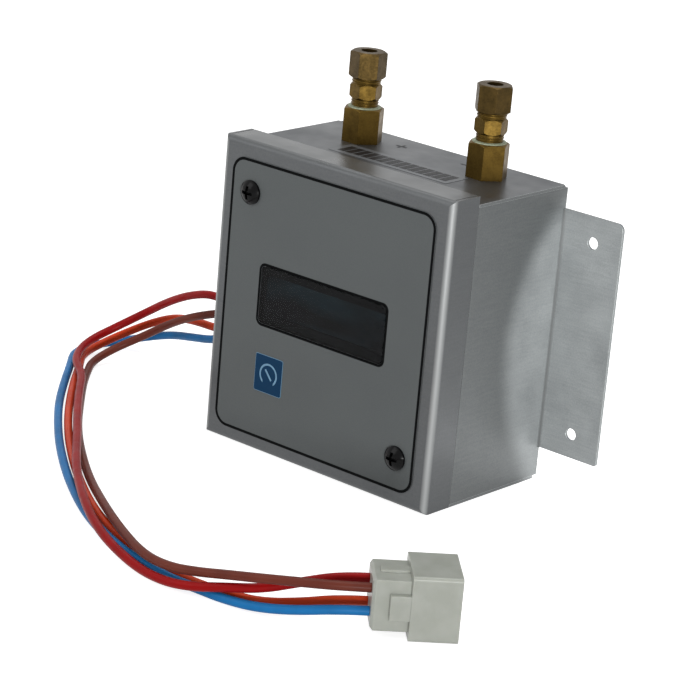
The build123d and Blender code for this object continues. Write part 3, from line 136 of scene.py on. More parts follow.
@dataclass(frozen=True)
class Finish:
    """What every finish shares: its name and its main colour."""

    name: str
    colour: str

    def build(self) -> bpy.types.Material:
        """Makes the material of this finish.

        Returns:
            The material, with a Principled shader that the finish has dressed.
        """
        material = bpy.data.materials.new(self.name)
        material.use_nodes = True
        tree = material.node_tree
        tree.nodes.clear()
        plain, fed = self.dress(tree)
        shader = add_node(tree, "ShaderNodeBsdfPrincipled", {"Base Color": linear(self.colour), **plain}, fed)
        add_node(tree, "ShaderNodeOutputMaterial", links={"Surface": shader})
        return material

    def dress(self, tree: bpy.types.NodeTree) -> tuple[Inputs, Inputs]:
        """Draws the finish's patterns.

        Args:
            tree: The material's tree.

        Returns:
            The shader's plain inputs with their values, and its other inputs with what feeds them.
        """
        raise NotImplementedError

    def shaded(self, tree: bpy.types.NodeTree, pattern: bpy.types.Node, limits: Limits,
               other: str) -> bpy.types.NodeSocket:
        """Takes another colour to the main one as a pattern rises.

        Args:
            tree: The material's tree.
            pattern: The pattern.
            limits: The pattern's values at which it is all the other colour, and all the main one.
            other: The other colour.

        Returns:
            The colour.
        """
        share = add_node(tree, "ShaderNodeMapRange", {1: limits[0], 2: limits[1]}, {0: pattern})
        return add_node(tree, "ShaderNodeMix", {
            "data_type": "RGBA", 6: linear(other), 7: linear(self.colour)}, {0: share}).outputs[2]


@dataclass(frozen=True)
class BrushedSheet(Finish):
    """Mill-finished aluminium sheet: fine grain, with painted shade on its upper faces, a painted highlight
    along its cut edges and painted fold shading in its upright folds.

    Its rolling lines are finer than a tenth of a millimetre in reality. They are drawn as coarse as
    streak_mm and grain_mm say, so that they show.
    """

    dark: str
    painted_top_shade: str
    painted_edge_highlight: str
    painted_fold_shading: str
    streak_mm: float = 0.25
    streak_length_mm: float = 3.5
    streak_share: float = 0.35
    patch_mm: float = 22.0
    patch_share: float = 0.2
    grain_mm: float = 0.6
    grain_share: float = 0.45
    tone_limits: Limits = (0.36, 0.64)
    patch_limits: Limits = (0.3, 0.7)
    roughness: float = 0.5
    smoother: float = 0.07
    rougher: float = 0.09
    upper_polish: float = 0.14
    metallic: float = 0.7
    anisotropy: float = 0.3
    fold_mm: float = 0.25
    edge_highlight_limits: Limits = (0.995, 0.9)
    fold_limits: Limits = (0.0, 0.5)
    relief_mm: float = 0.02
    relief_share: float = 0.4

    def patterns(self, tree: bpy.types.NodeTree, facing: list[bpy.types.NodeSocket]
                 ) -> tuple[bpy.types.Node, bpy.types.Node, bpy.types.Node]:
        """Lays lines along the sheet, which turn with it round the folds.

        Args:
            tree: The material's tree.
            facing: The three parts of the direction that the face looks in.

        Returns:
            The lines, the cloudy patches and the grain.
        """
        place = add_node(tree, "ShaderNodeTexCoord").outputs["Object"]
        x, y, z = add_node(tree, "ShaderNodeSeparateXYZ", links={0: place}).outputs
        sideways, upwards = [
            add_node(tree, "ShaderNodeMath", {"operation": "GREATER_THAN", 1: FACING}, {
                0: add_node(tree, "ShaderNodeMath", {"operation": "ABSOLUTE"}, {0: facing[axis]})})
            for axis in (0, 2)]
        along = add_node(tree, "ShaderNodeMix", links={0: sideways, 2: x, 3: y})
        across = add_node(tree, "ShaderNodeMix", links={0: upwards, 2: z, 3: y})
        flat = add_node(tree, "ShaderNodeCombineXYZ", links={0: along, 1: across})
        shortened = add_node(tree, "ShaderNodeMath", {
            "operation": "MULTIPLY", 1: self.streak_mm / self.streak_length_mm}, {0: along})
        stretched = add_node(tree, "ShaderNodeCombineXYZ", links={0: shortened, 1: across})
        lines = add_node(tree, "ShaderNodeTexNoise", {
            "Scale": per_metre(self.streak_mm * 4), "Detail": 4.0, "Roughness": 0.75},
            {"Vector": stretched})
        patches = add_node(tree, "ShaderNodeTexNoise", {
            "Scale": per_metre(self.patch_mm), "Detail": 3.0, "Roughness": 0.55}, {"Vector": flat})
        grain = add_node(tree, "ShaderNodeTexNoise", {
            "Scale": per_metre(self.grain_mm), "Detail": 2.0, "Roughness": 0.6}, {"Vector": place})
        return lines, patches, grain

    def dress(self, tree: bpy.types.NodeTree) -> tuple[Inputs, Inputs]:
        """Colours the sheet by its lines, paints shade on its upper faces and a highlight along its cut
        edges, and paints its upright folds lighter or darker as fold shading.

        Args:
            tree: The material's tree.

        Returns:
            The shader's plain inputs with their values, and its other inputs with what feeds them.
        """
        shape = add_node(tree, "ShaderNodeNewGeometry").outputs
        facing = list(add_node(tree, "ShaderNodeSeparateXYZ", links={0: shape["True Normal"]}).outputs)
        lines, patches, grain = self.patterns(tree, facing)
        tone = weighed(tree, [(lines, self.streak_share), (patches, self.patch_share),
                              (grain, self.grain_share)])
        # Faces that look upwards get painted shade in their colour, and a smoother shine
        upper = add_node(tree, "ShaderNodeMath", {"operation": "GREATER_THAN", 1: FACING}, {0: facing[2]})
        # Near a cut edge the softened direction leaves that of the face, and there a painted highlight goes
        # on
        edges = add_node(tree, "ShaderNodeBevel", {"samples": EDGE_SAMPLES, "Radius": self.fold_mm * MM})
        likeness = add_node(tree, "ShaderNodeVectorMath", {"operation": "DOT_PRODUCT"},
                            {0: edges, 1: shape["Normal"]}).outputs["Value"]
        edge_highlight = add_node(tree, "ShaderNodeMapRange", {1: self.edge_highlight_limits[0], 2: self.edge_highlight_limits[1]},
                           {0: likeness})
        # An upright fold looks partly forwards and partly sideways, and there its colour is painted lighter
        # as a highlight or darker as shade
        smooth = add_node(tree, "ShaderNodeSeparateXYZ", links={0: shape["Normal"]}).outputs
        turned = add_node(tree, "ShaderNodeMath", {"operation": "MULTIPLY"}, {0: smooth[0], 1: smooth[1]})
        either = add_node(tree, "ShaderNodeMath", {"operation": "ABSOLUTE"}, {0: turned})
        folded = add_node(tree, "ShaderNodeMapRange", {1: self.fold_limits[0], 2: self.fold_limits[1]},
                          {0: either})
        colour = self.shaded(tree, tone, self.tone_limits, self.dark)
        # Painted shade on upper faces, a painted highlight along cut edges and painted fold shading go over
        # the sheet's colour
        for mask, shade in ((upper, self.painted_top_shade), (edge_highlight, self.painted_edge_highlight), (folded, self.painted_fold_shading)):
            colour = add_node(tree, "ShaderNodeMix", {"data_type": "RGBA", 7: linear(shade)},
                              {0: mask, 6: colour}).outputs[2]
        rough = add_node(tree, "ShaderNodeMapRange", {
            1: self.patch_limits[0], 2: self.patch_limits[1],
            3: self.roughness - self.smoother, 4: self.roughness + self.rougher}, {0: patches})
        polished = weighed(tree, [(rough, 1.0), (upper, -self.upper_polish)])
        height = weighed(tree, [(lines, 0.5), (grain, 0.5)])
        relief = add_node(tree, "ShaderNodeBump", {
            "Distance": self.relief_mm * MM, "Strength": self.relief_share},
            {"Height": height, "Normal": edges})
        return ({"Metallic": self.metallic, "Anisotropic": self.anisotropy},
                {"Base Color": colour, "Roughness": polished, "Normal": relief})


@dataclass(frozen=True)
class PrintedFilm(Finish):
    """Polyester or vinyl film with a fine matt texture, printed in one colour."""

    fleck: str
    roughness: float = 0.45
    roughness_change: float = 0.06
    texture_mm: float = 0.35
    texture_share: float = 0.7
    cloud_mm: float = 30.0
    cloud_share: float = 0.3
    tone_limits: Limits = (0.35, 0.65)
    cloud_limits: Limits = (0.3, 0.7)
    depth_mm: float = 0.012
    relief_share: float = 0.6
    specular: float = 0.2

    def dress(self, tree: bpy.types.NodeTree) -> tuple[Inputs, Inputs]:
        """Adds the fine grain of the film and faint handling marks.

        Args:
            tree: The material's tree.

        Returns:
            The shader's plain inputs with their values, and its other inputs with what feeds them.
        """
        place = add_node(tree, "ShaderNodeTexCoord").outputs["Object"]
        grain = add_node(tree, "ShaderNodeTexNoise", {
            "Scale": per_metre(self.texture_mm), "Detail": 2.0, "Roughness": 0.6}, {"Vector": place})
        clouds = add_node(tree, "ShaderNodeTexNoise", {
            "Scale": per_metre(self.cloud_mm), "Detail": 3.0, "Roughness": 0.5}, {"Vector": place})
        tone = weighed(tree, [(grain, self.texture_share), (clouds, self.cloud_share)])
        rough = add_node(tree, "ShaderNodeMapRange", {
            1: self.cloud_limits[0], 2: self.cloud_limits[1],
            3: self.roughness - self.roughness_change, 4: self.roughness + self.roughness_change},
            {0: clouds})
        relief = add_node(tree, "ShaderNodeBump", {
            "Distance": self.depth_mm * MM, "Strength": self.relief_share}, {"Height": grain})
        return ({"Specular IOR Level": self.specular},
                {"Base Color": self.shaded(tree, tone, self.tone_limits, self.fleck),
                 "Roughness": rough, "Normal": relief})


@dataclass(frozen=True)
class Ink(Finish):
    """Screen-printed ink, a little thicker and glossier than what it is printed on."""

    roughness: float = 0.4
    smoother: float = 0.05
    rougher: float = 0.08
    specular: float = 0.1
    mottle_mm: float = 0.5
    mottle_limits: Limits = (0.3, 0.7)
    relief_mm: float = 0.01
    relief_share: float = 0.5

    def dress(self, tree: bpy.types.NodeTree) -> tuple[Inputs, Inputs]:
        """Adds the slight mottling of printed ink.

        Args:
            tree: The material's tree.

        Returns:
            The shader's plain inputs with their values, and its other inputs with what feeds them.
        """
        place = add_node(tree, "ShaderNodeTexCoord").outputs["Object"]
        mottle = add_node(tree, "ShaderNodeTexNoise", {
            "Scale": per_metre(self.mottle_mm), "Detail": 2.0, "Roughness": 0.5}, {"Vector": place})
        rough = add_node(tree, "ShaderNodeMapRange", {
            1: self.mottle_limits[0], 2: self.mottle_limits[1],
            3: self.roughness - self.smoother, 4: self.roughness + self.rougher}, {0: mottle})
        relief = add_node(tree, "ShaderNodeBump", {
            "Distance": self.relief_mm * MM, "Strength": self.relief_share}, {"Height": mottle})
        return {"Specular IOR Level": self.specular}, {"Roughness": rough, "Normal": relief}


@dataclass(frozen=True)
class Moulded(Finish):
    """Moulded plastic or rubber with a fine spark-eroded grain."""

    shade: str
    roughness: float = 0.5
    grain_mm: float = 0.4
    cloud_mm: float = 5.0
    cloud_limits: Limits = (0.35, 0.65)
    depth_mm: float = 0.02
    relief_share: float = 0.5
    specular: float = 0.5

    def dress(self, tree: bpy.types.NodeTree) -> tuple[Inputs, Inputs]:
        """Adds the mould's grain and a faint change of shade.

        Args:
            tree: The material's tree.

        Returns:
            The shader's plain inputs with their values, and its other inputs with what feeds them.
        """
        place = add_node(tree, "ShaderNodeTexCoord").outputs["Object"]
        grain = add_node(tree, "ShaderNodeTexNoise", {
            "Scale": per_metre(self.grain_mm), "Detail": 3.0, "Roughness": 0.6}, {"Vector": place})
        clouds = add_node(tree, "ShaderNodeTexNoise", {
            "Scale": per_metre(self.cloud_mm), "Detail": 3.0, "Roughness": 0.5}, {"Vector": place})
        relief = add_node(tree, "ShaderNodeBump", {
            "Distance": self.depth_mm * MM, "Strength": self.relief_share}, {"Height": grain})
        return ({"Roughness": self.roughness, "Specular IOR Level": self.specular},
                {"Base Color": self.shaded(tree, clouds, self.cloud_limits, self.shade),
                 "Normal": relief})


@dataclass(frozen=True)
class TurnedMetal(Finish):
    """Machined bar metal: tool rings on turned faces, dull patches and softly broken edges."""

    tarnish: str
    roughness: float = 0.34
    smoother: float = 0.06
    rougher: float = 0.12
    ring_mm: float = 0.35
    cloud_mm: float = 4.5
    cloud_share: float = 0.6
    speck_mm: float = 0.8
    speck_share: float = 0.4
    tone_limits: Limits = (0.38, 0.62)
    gloss_limits: Limits = (0.35, 0.65)
    edge_mm: float = 0.18
    relief_mm: float = 0.02
    relief_share: float = 0.5

    def dress(self, tree: bpy.types.NodeTree) -> tuple[Inputs, Inputs]:
        """Adds tool rings by height, dull clouds and softly broken edges.

        Args:
            tree: The material's tree.

        Returns:
            The shader's plain inputs with their values, and its other inputs with what feeds them.
        """
        place = add_node(tree, "ShaderNodeTexCoord").outputs["Object"]
        height = add_node(tree, "ShaderNodeSeparateXYZ", links={0: place}).outputs[2]
        level = add_node(tree, "ShaderNodeCombineXYZ", links={2: height})
        rings = add_node(tree, "ShaderNodeTexNoise", {
            "Scale": per_metre(self.ring_mm), "Detail": 2.0, "Roughness": 0.5}, {"Vector": level})
        clouds = add_node(tree, "ShaderNodeTexNoise", {
            "Scale": per_metre(self.cloud_mm), "Detail": 4.0, "Roughness": 0.6}, {"Vector": place})
        specks = add_node(tree, "ShaderNodeTexNoise", {
            "Scale": per_metre(self.speck_mm), "Detail": 3.0, "Roughness": 0.7}, {"Vector": place})
        tone = weighed(tree, [(clouds, self.cloud_share), (specks, self.speck_share)])
        rough = add_node(tree, "ShaderNodeMapRange", {
            1: self.gloss_limits[0], 2: self.gloss_limits[1],
            3: self.roughness + self.rougher, 4: self.roughness - self.smoother}, {0: tone})
        edges = add_node(tree, "ShaderNodeBevel", {"samples": EDGE_SAMPLES, "Radius": self.edge_mm * MM})
        relief = add_node(tree, "ShaderNodeBump", {
            "Distance": self.relief_mm * MM, "Strength": self.relief_share},
            {"Height": rings, "Normal": edges})
        return ({"Metallic": 1.0},
                {"Base Color": self.shaded(tree, tone, self.tone_limits, self.tarnish),
                 "Roughness": rough, "Normal": relief})


@dataclass(frozen=True)
class ClearPlastic(Finish):
    """Clear cast or extruded plastic with its slight tint."""

    roughness: float = 0.02
    ior: float = 1.49
    reflection: str = "#ffffff"
    smear_mm: float = 25.0
    smear_limits: Limits = (0.4, 0.75)
    smear_roughness: float = 0.02

    def dress(self, tree: bpy.types.NodeTree) -> tuple[Inputs, Inputs]:
        """Makes the shader clear, with faint smears on its gloss.

        Args:
            tree: The material's tree.

        Returns:
            The shader's plain inputs with their values, and its other inputs with what feeds them.
        """
        place = add_node(tree, "ShaderNodeTexCoord").outputs["Object"]
        smears = add_node(tree, "ShaderNodeTexNoise", {
            "Scale": per_metre(self.smear_mm), "Detail": 2.0, "Roughness": 0.5}, {"Vector": place})
        rough = add_node(tree, "ShaderNodeMapRange", {
            1: self.smear_limits[0], 2: self.smear_limits[1],
            3: self.roughness, 4: self.roughness + self.smear_roughness}, {0: smears})
        return ({"Transmission Weight": 1.0, "IOR": self.ior, "Specular Tint": linear(self.reflection)},
                {"Roughness": rough})


@dataclass(frozen=True)
class CloudyPlastic(Finish):
    """Natural nylon, silicone or acrylic that lets light a little way in."""

    depth: str
    glow: float = 0.5
    depth_mm: float = 3.0
    spread: Point = (1.0, 0.95, 0.85)
    roughness: float = 0.36
    cloud_mm: float = 7.0
    cloud_limits: Limits = (0.35, 0.65)
    grain_mm: float = 0.9
    edge_mm: float = 0.35
    relief_mm: float = 0.02
    relief_share: float = 0.4

    def dress(self, tree: bpy.types.NodeTree) -> tuple[Inputs, Inputs]:
        """Adds light under the skin, flow clouds and a fine moulded grain.

        Args:
            tree: The material's tree.

        Returns:
            The shader's plain inputs with their values, and its other inputs with what feeds them.
        """
        place = add_node(tree, "ShaderNodeTexCoord").outputs["Object"]
        clouds = add_node(tree, "ShaderNodeTexNoise", {
            "Scale": per_metre(self.cloud_mm), "Detail": 3.0, "Roughness": 0.5}, {"Vector": place})
        grain = add_node(tree, "ShaderNodeTexNoise", {
            "Scale": per_metre(self.grain_mm), "Detail": 2.0, "Roughness": 0.5}, {"Vector": place})
        edges = add_node(tree, "ShaderNodeBevel", {"samples": EDGE_SAMPLES, "Radius": self.edge_mm * MM})
        relief = add_node(tree, "ShaderNodeBump", {
            "Distance": self.relief_mm * MM, "Strength": self.relief_share},
            {"Height": grain, "Normal": edges})
        return ({"Subsurface Weight": self.glow, "Subsurface Radius": self.spread,
                 "Subsurface Scale": self.depth_mm * MM, "Roughness": self.roughness},
                {"Base Color": self.shaded(tree, clouds, self.cloud_limits, self.depth),
                 "Normal": relief})


@dataclass(frozen=True)
class WireInsulation(Finish):
    """Extruded PVC insulation: smooth, with faint waves where strands press through."""

    shade: str
    roughness: float = 0.36
    rougher: float = 0.12
    specular: float = 0.12
    cloud_mm: float = 12.0
    cloud_limits: Limits = (0.35, 0.65)
    smear_mm: float = 3.0
    smear_limits: Limits = (0.3, 0.7)
    wave_mm: float = 6.0
    wave_depth_mm: float = 0.03
    wave_share: float = 0.3

    def dress(self, tree: bpy.types.NodeTree) -> tuple[Inputs, Inputs]:
        """Adds a soft change of shade and the faint waves.

        Args:
            tree: The material's tree.

        Returns:
            The shader's plain inputs with their values, and its other inputs with what feeds them.
        """
        place = add_node(tree, "ShaderNodeTexCoord").outputs["Object"]
        clouds = add_node(tree, "ShaderNodeTexNoise", {
            "Scale": per_metre(self.cloud_mm), "Detail": 2.0, "Roughness": 0.5}, {"Vector": place})
        smears = add_node(tree, "ShaderNodeTexNoise", {
            "Scale": per_metre(self.smear_mm), "Detail": 3.0, "Roughness": 0.5}, {"Vector": place})
        waves = add_node(tree, "ShaderNodeTexNoise", {
            "Scale": per_metre(self.wave_mm), "Detail": 2.0, "Roughness": 0.5}, {"Vector": place})
        rough = add_node(tree, "ShaderNodeMapRange", {
            1: self.smear_limits[0], 2: self.smear_limits[1],
            3: self.roughness, 4: self.roughness + self.rougher}, {0: smears})
        relief = add_node(tree, "ShaderNodeBump", {
            "Distance": self.wave_depth_mm * MM, "Strength": self.wave_share}, {"Height": waves})
        return ({"Specular IOR Level": self.specular},
                {"Base Color": self.shaded(tree, clouds, self.cloud_limits, self.shade),
                 "Roughness": rough, "Normal": relief})


@dataclass(frozen=True)
class CircuitBoard(Finish):
    """Glass-epoxy board under solder mask, with tracks that show as lighter lines."""

    track: str
    pitch_mm: float = 2.54
    roughness: float = 0.32
    track_depth_mm: float = 0.03
    track_share: float = 0.6

    def dress(self, tree: bpy.types.NodeTree) -> tuple[Inputs, Inputs]:
        """Draws tracks in short right-angled runs.

        Args:
            tree: The material's tree.

        Returns:
            The shader's plain inputs with their values, and its other inputs with what feeds them.
        """
        place = add_node(tree, "ShaderNodeTexCoord").outputs["Object"]
        upright = add_node(tree, "ShaderNodeMapping", {"Rotation": (math.pi / 2, 0.0, 0.0)},
                           {"Vector": place})
        tracks = add_node(tree, "ShaderNodeTexBrick", {
            "Scale": per_metre(self.pitch_mm * 4), "Mortar Size": 0.03, "Mortar Smooth": 0.1,
            "Brick Width": 1.7, "Row Height": 0.25, "offset": 0.37}, {"Vector": upright}).outputs["Fac"]
        colour = add_node(tree, "ShaderNodeMix", {
            "data_type": "RGBA", 6: linear(self.colour), 7: linear(self.track)}, {0: tracks}).outputs[2]
        relief = add_node(tree, "ShaderNodeBump", {
            "Distance": self.track_depth_mm * MM, "Strength": self.track_share}, {"Height": tracks})
        return {"Roughness": self.roughness}, {"Base Color": colour, "Normal": relief}


@dataclass(frozen=True)
class LiquidCrystal(Finish):
    """Display glass that is switched off: a dark teal pane with a painted reflection in broad, nearly black
    bands.
    """

    painted_reflection: str
    band_mm: float = 16.0
    band_stretch: Point = (0.3, 1.0, 1.0)
    band_limits: Limits = (0.4, 0.6)
    roughness: float = 0.12
    specular: float = 0.1

    def dress(self, tree: bpy.types.NodeTree) -> tuple[Inputs, Inputs]:
        """Draws the painted reflection's bands along the pane.

        Args:
            tree: The material's tree.

        Returns:
            The shader's plain inputs with their values, and its other inputs with what feeds them.
        """
        place = add_node(tree, "ShaderNodeTexCoord").outputs["Object"]
        stretched = add_node(tree, "ShaderNodeMapping", {"Scale": self.band_stretch}, {"Vector": place})
        reflection_bands = add_node(tree, "ShaderNodeTexNoise", {
            "Scale": per_metre(self.band_mm), "Detail": 1.0, "Roughness": 0.5}, {"Vector": stretched})
        return ({"Roughness": self.roughness, "Specular IOR Level": self.specular},
                {"Base Color": self.shaded(tree, reflection_bands, self.band_limits, self.painted_reflection)})


@dataclass(frozen=True)
class RibbonSheath(Finish):
    """Flat ribbon cable: ridged grey PVC with one red edge."""

    edge: str
    edge_x_mm: float
    pitch_mm: float = 1.27
    roughness: float = 0.45
    ridge_mm: float = 0.3
    ridge_share: float = 0.7

    def dress(self, tree: bpy.types.NodeTree) -> tuple[Inputs, Inputs]:
        """Draws the ridges over the conductors and the red edge.

        Args:
            tree: The material's tree.

        Returns:
            The shader's plain inputs with their values, and its other inputs with what feeds them.
        """
        place = add_node(tree, "ShaderNodeTexCoord").outputs["Object"]
        across = add_node(tree, "ShaderNodeSeparateXYZ", links={0: place}).outputs[0]
        turns = add_node(tree, "ShaderNodeMath", {
            "operation": "MULTIPLY", 1: math.tau / (self.pitch_mm * MM)}, {0: across})
        wave = add_node(tree, "ShaderNodeMath", {"operation": "SINE"}, {0: turns})
        ridges = add_node(tree, "ShaderNodeMapRange", {1: -1.0, 2: 1.0}, {0: wave})
        first = add_node(tree, "ShaderNodeMath", {
            "operation": "LESS_THAN", 1: (self.edge_x_mm + self.pitch_mm) * MM}, {0: across})
        colour = add_node(tree, "ShaderNodeMix", {
            "data_type": "RGBA", 6: linear(self.colour), 7: linear(self.edge)}, {0: first}).outputs[2]
        relief = add_node(tree, "ShaderNodeBump", {
            "Distance": self.ridge_mm * MM, "Strength": self.ridge_share}, {"Height": ridges})
        return {"Roughness": self.roughness}, {"Base Color": colour, "Normal": relief}


@dataclass(frozen=True)
class WoundTape(Finish):
    """Sealing tape, thin and wrinkled where it was wound, with painted shade in the hollows of its creases.
    """

    painted_crease_shade: str
    crease_mm: float = 1.4
    crease_stretch: Point = (1.0, 1.0, 3.5)
    crease_limits: Limits = (0.4, 0.62)
    crease_depth_mm: float = 0.25
    crease_share: float = 0.8
    roughness: float = 0.55

    def dress(self, tree: bpy.types.NodeTree) -> tuple[Inputs, Inputs]:
        """Adds creases round the thread, with painted shade in their hollows.

        Args:
            tree: The material's tree.

        Returns:
            The shader's plain inputs with their values, and its other inputs with what feeds them.
        """
        place = add_node(tree, "ShaderNodeTexCoord").outputs["Object"]
        squashed = add_node(tree, "ShaderNodeMapping", {"Scale": self.crease_stretch}, {"Vector": place})
        creases = add_node(tree, "ShaderNodeTexNoise", {
            "Scale": per_metre(self.crease_mm), "Detail": 4.0, "Roughness": 0.7}, {"Vector": squashed})
        relief = add_node(tree, "ShaderNodeBump", {
            "Distance": self.crease_depth_mm * MM, "Strength": self.crease_share}, {"Height": creases})
        return ({"Roughness": self.roughness},
                {"Base Color": self.shaded(tree, creases, self.crease_limits, self.painted_crease_shade),
                 "Normal": relief})


def dressed(finish: Finish, *nodes: str) -> bpy.types.Material:
    """Puts one finish on CAD nodes.

    Args:
        finish: The finish.
        nodes: Names of the nodes that wear it.

    Returns:
        The material, for the pieces that scene.py adds in the same finish.
    """
    material = finish.build()
    for name in nodes:
        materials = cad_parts[name].data.materials
        if not materials:
            materials.append(material)
        for index in range(len(materials)):
            materials[index] = material
        LOG.info("%s wears %s", name, finish.name)
    return material


def kept(name: str, mesh: bpy.types.Mesh) -> bpy.types.Object:
    """Links a finished mesh to the scene as a piece that rides on the case.

    Args:
        name: The piece's name.
        mesh: Its mesh, in place.

    Returns:
        The new object.
    """
    piece = bpy.data.objects.new(name, mesh)
    bpy.context.scene.collection.objects.link(piece)
    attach(piece, CASE_BODY)
    LOG.info("%s: %d faces", name, len(mesh.polygons))
    return piece


def new_geometry_tree(name: str, sizes: dict[str, str]) -> tuple[bpy.types.NodeTree, bpy.types.Node]:
    """Starts a Geometry Nodes tree with named inputs.

    Args:
        name: The tree's name.
        sizes: Socket type of each input, by its name.

    Returns:
        The tree and its input node.
    """
    tree = bpy.data.node_groups.new(name, "GeometryNodeTree")
    for label, kind in sizes.items():
        tree.interface.new_socket(name=label, in_out="INPUT", socket_type=kind)
    tree.interface.new_socket(name="Geometry", in_out="OUTPUT", socket_type="NodeSocketGeometry")
    return tree, add_node(tree, "NodeGroupInput")


def end_tree(tree: bpy.types.NodeTree, shape: bpy.types.Node, material: bpy.types.Material) -> None:
    """Ends a Geometry Nodes tree with real geometry in one material.

    Args:
        tree: The tree.
        shape: The node that gives the finished shape.
        material: The shape's material.
    """
    real = add_node(tree, "GeometryNodeRealizeInstances", links={0: shape})
    finished = add_node(tree, "GeometryNodeSetMaterial", {"Material": material}, {"Geometry": real})
    add_node(tree, "NodeGroupOutput", links={0: finished})


def grown(name: str, tree: bpy.types.NodeTree, sizes: dict[str, Any]) -> bpy.types.Mesh:
    """Runs a Geometry Nodes tree and keeps what it makes as a plain mesh.

    Args:
        name: The mesh's name.
        tree: The tree.
        sizes: Value of each input, by its name.

    Returns:
        The mesh.
    """
    holder = bpy.data.objects.new(name + "_holder", bpy.data.meshes.new(name + "_start"))
    bpy.context.scene.collection.objects.link(holder)
    modifier = holder.modifiers.new("grow", "NODES")
    modifier.node_group = tree
    for item in tree.interface.items_tree:
        if item.in_out == "INPUT" and item.name in sizes:
            modifier[item.identifier] = sizes[item.name]
    graph = bpy.context.evaluated_depsgraph_get()
    mesh = bpy.data.meshes.new_from_object(holder.evaluated_get(graph), depsgraph=graph)
    mesh.name = name
    holder.modifiers.remove(modifier)
    bpy.data.objects.remove(holder)
    return mesh


@dataclass
class Case:
    """Folded sheet case with its overlay, badge, label, screws and rubber bush."""

    # The side plates get painted shade in the inner fold of their ears, and a little on faces that look up
    aluminium: BrushedSheet = BrushedSheet("brushed_aluminium_sheet", "#6e7171", dark="#5e6162",
                                           painted_top_shade="#616467", painted_edge_highlight="#6e7171", painted_fold_shading="#2e3030")
    # The chassis gets a painted highlight along its cut edges and painted shade on its top
    chassis: BrushedSheet = BrushedSheet("chassis_aluminium_sheet", "#757878", dark="#646768",
                                         painted_top_shade="#494c4f", painted_edge_highlight="#b4b6b6", painted_fold_shading="#757878")
    # The cover gets a painted highlight on its upright folds and a fainter one along its cut edges
    cover: BrushedSheet = BrushedSheet("cover_aluminium_sheet", "#5f6162", dark="#555759", painted_top_shade="#5e6061",
                                       painted_edge_highlight="#808283", painted_fold_shading="#939595", roughness=0.45)

    def build(self) -> None:
        """Dresses every piece of the case."""
        # Mill-finished aluminium: fine lines along the sheet and cloudy patches in its shine
        dressed(self.aluminium, "side_plate_left", "side_plate_right")
        dressed(self.chassis, "chassis")
        dressed(self.cover, "front_cover")
        # Polyester overlay with a metallic grey print on its back: even, matt, faintly grained
        dressed(PrintedFilm("grey_overlay_film", "#5f6363", fleck="#575b5c"), "front_overlay")
        # Cast vinyl, pale blue: smoother than the overlay round it
        dressed(PrintedFilm("badge_vinyl", "#7fa6c2", fleck="#719ab8", roughness=0.35), "badge")
        # Solvent ink in deep blue: dense and even on the pale vinyl
        dressed(Ink("badge_blue_ink", "#0a3454"), "badge_print")
        # Black screen ink under the overlay's matt skin: hardly a reflection
        dressed(Ink("black_ink", "#060708", specular=0.03), "overlay_print")
        # Silver polyester label: near the tone of the plate, a little smoother
        dressed(PrintedFilm("silver_label_film", "#606366", fleck="#5a5d60", roughness=0.38), "port_label")
        # Thermal-transfer ink: a worn black, slightly grey
        dressed(Ink("label_grey_black_ink", "#19191b"), "label_print", "port_marks")
        # Black-oxide steel: dark, with a tight highlight on the dome
        dressed(Moulded("black_oxide_steel", "#050506", shade="#080809", roughness=0.2, depth_mm=0.01,
                        specular=0.12), "cover_screws")
        # Moulded nitrile rubber: dull black with no clear highlight
        dressed(Moulded("nitrile_rubber", "#141414", shade="#1b1b1b", roughness=0.6), "grommet")


@dataclass
class Window:
    """Clear window with the display module behind it."""

    def build(self) -> None:
        """Dresses the window and the display."""
        # Smoked acrylic with a coating that takes most of its reflection away
        dressed(ClearPlastic("smoked_acrylic", "#8a9094", reflection="#15181b"), "window_lens")
        # Black-lacquered tin plate: a dark matt frame round the glass
        dressed(Moulded("black_tin_bezel", "#08090b", shade="#0c0d10", roughness=0.5, specular=0.1),
                "display_bezel")
        # Liquid crystal glass without power: dark teal, with a painted reflection in broad, nearly black
        # bands
        dressed(LiquidCrystal("switched_off_display", "#45626c", painted_reflection="#231f24"), "display_glass")
        # Diffusing acrylic: milky, faintly green at its edges
        dressed(CloudyPlastic("light_guide_acrylic", "#e4ebd8", depth="#d8e2c8"), "display_light_guide")
        # Green solder mask over copper: glossy, with paler raised tracks
        dressed(CircuitBoard("display_board_mask", "#0e4a2a", track="#1d6a3f"), "display_board")


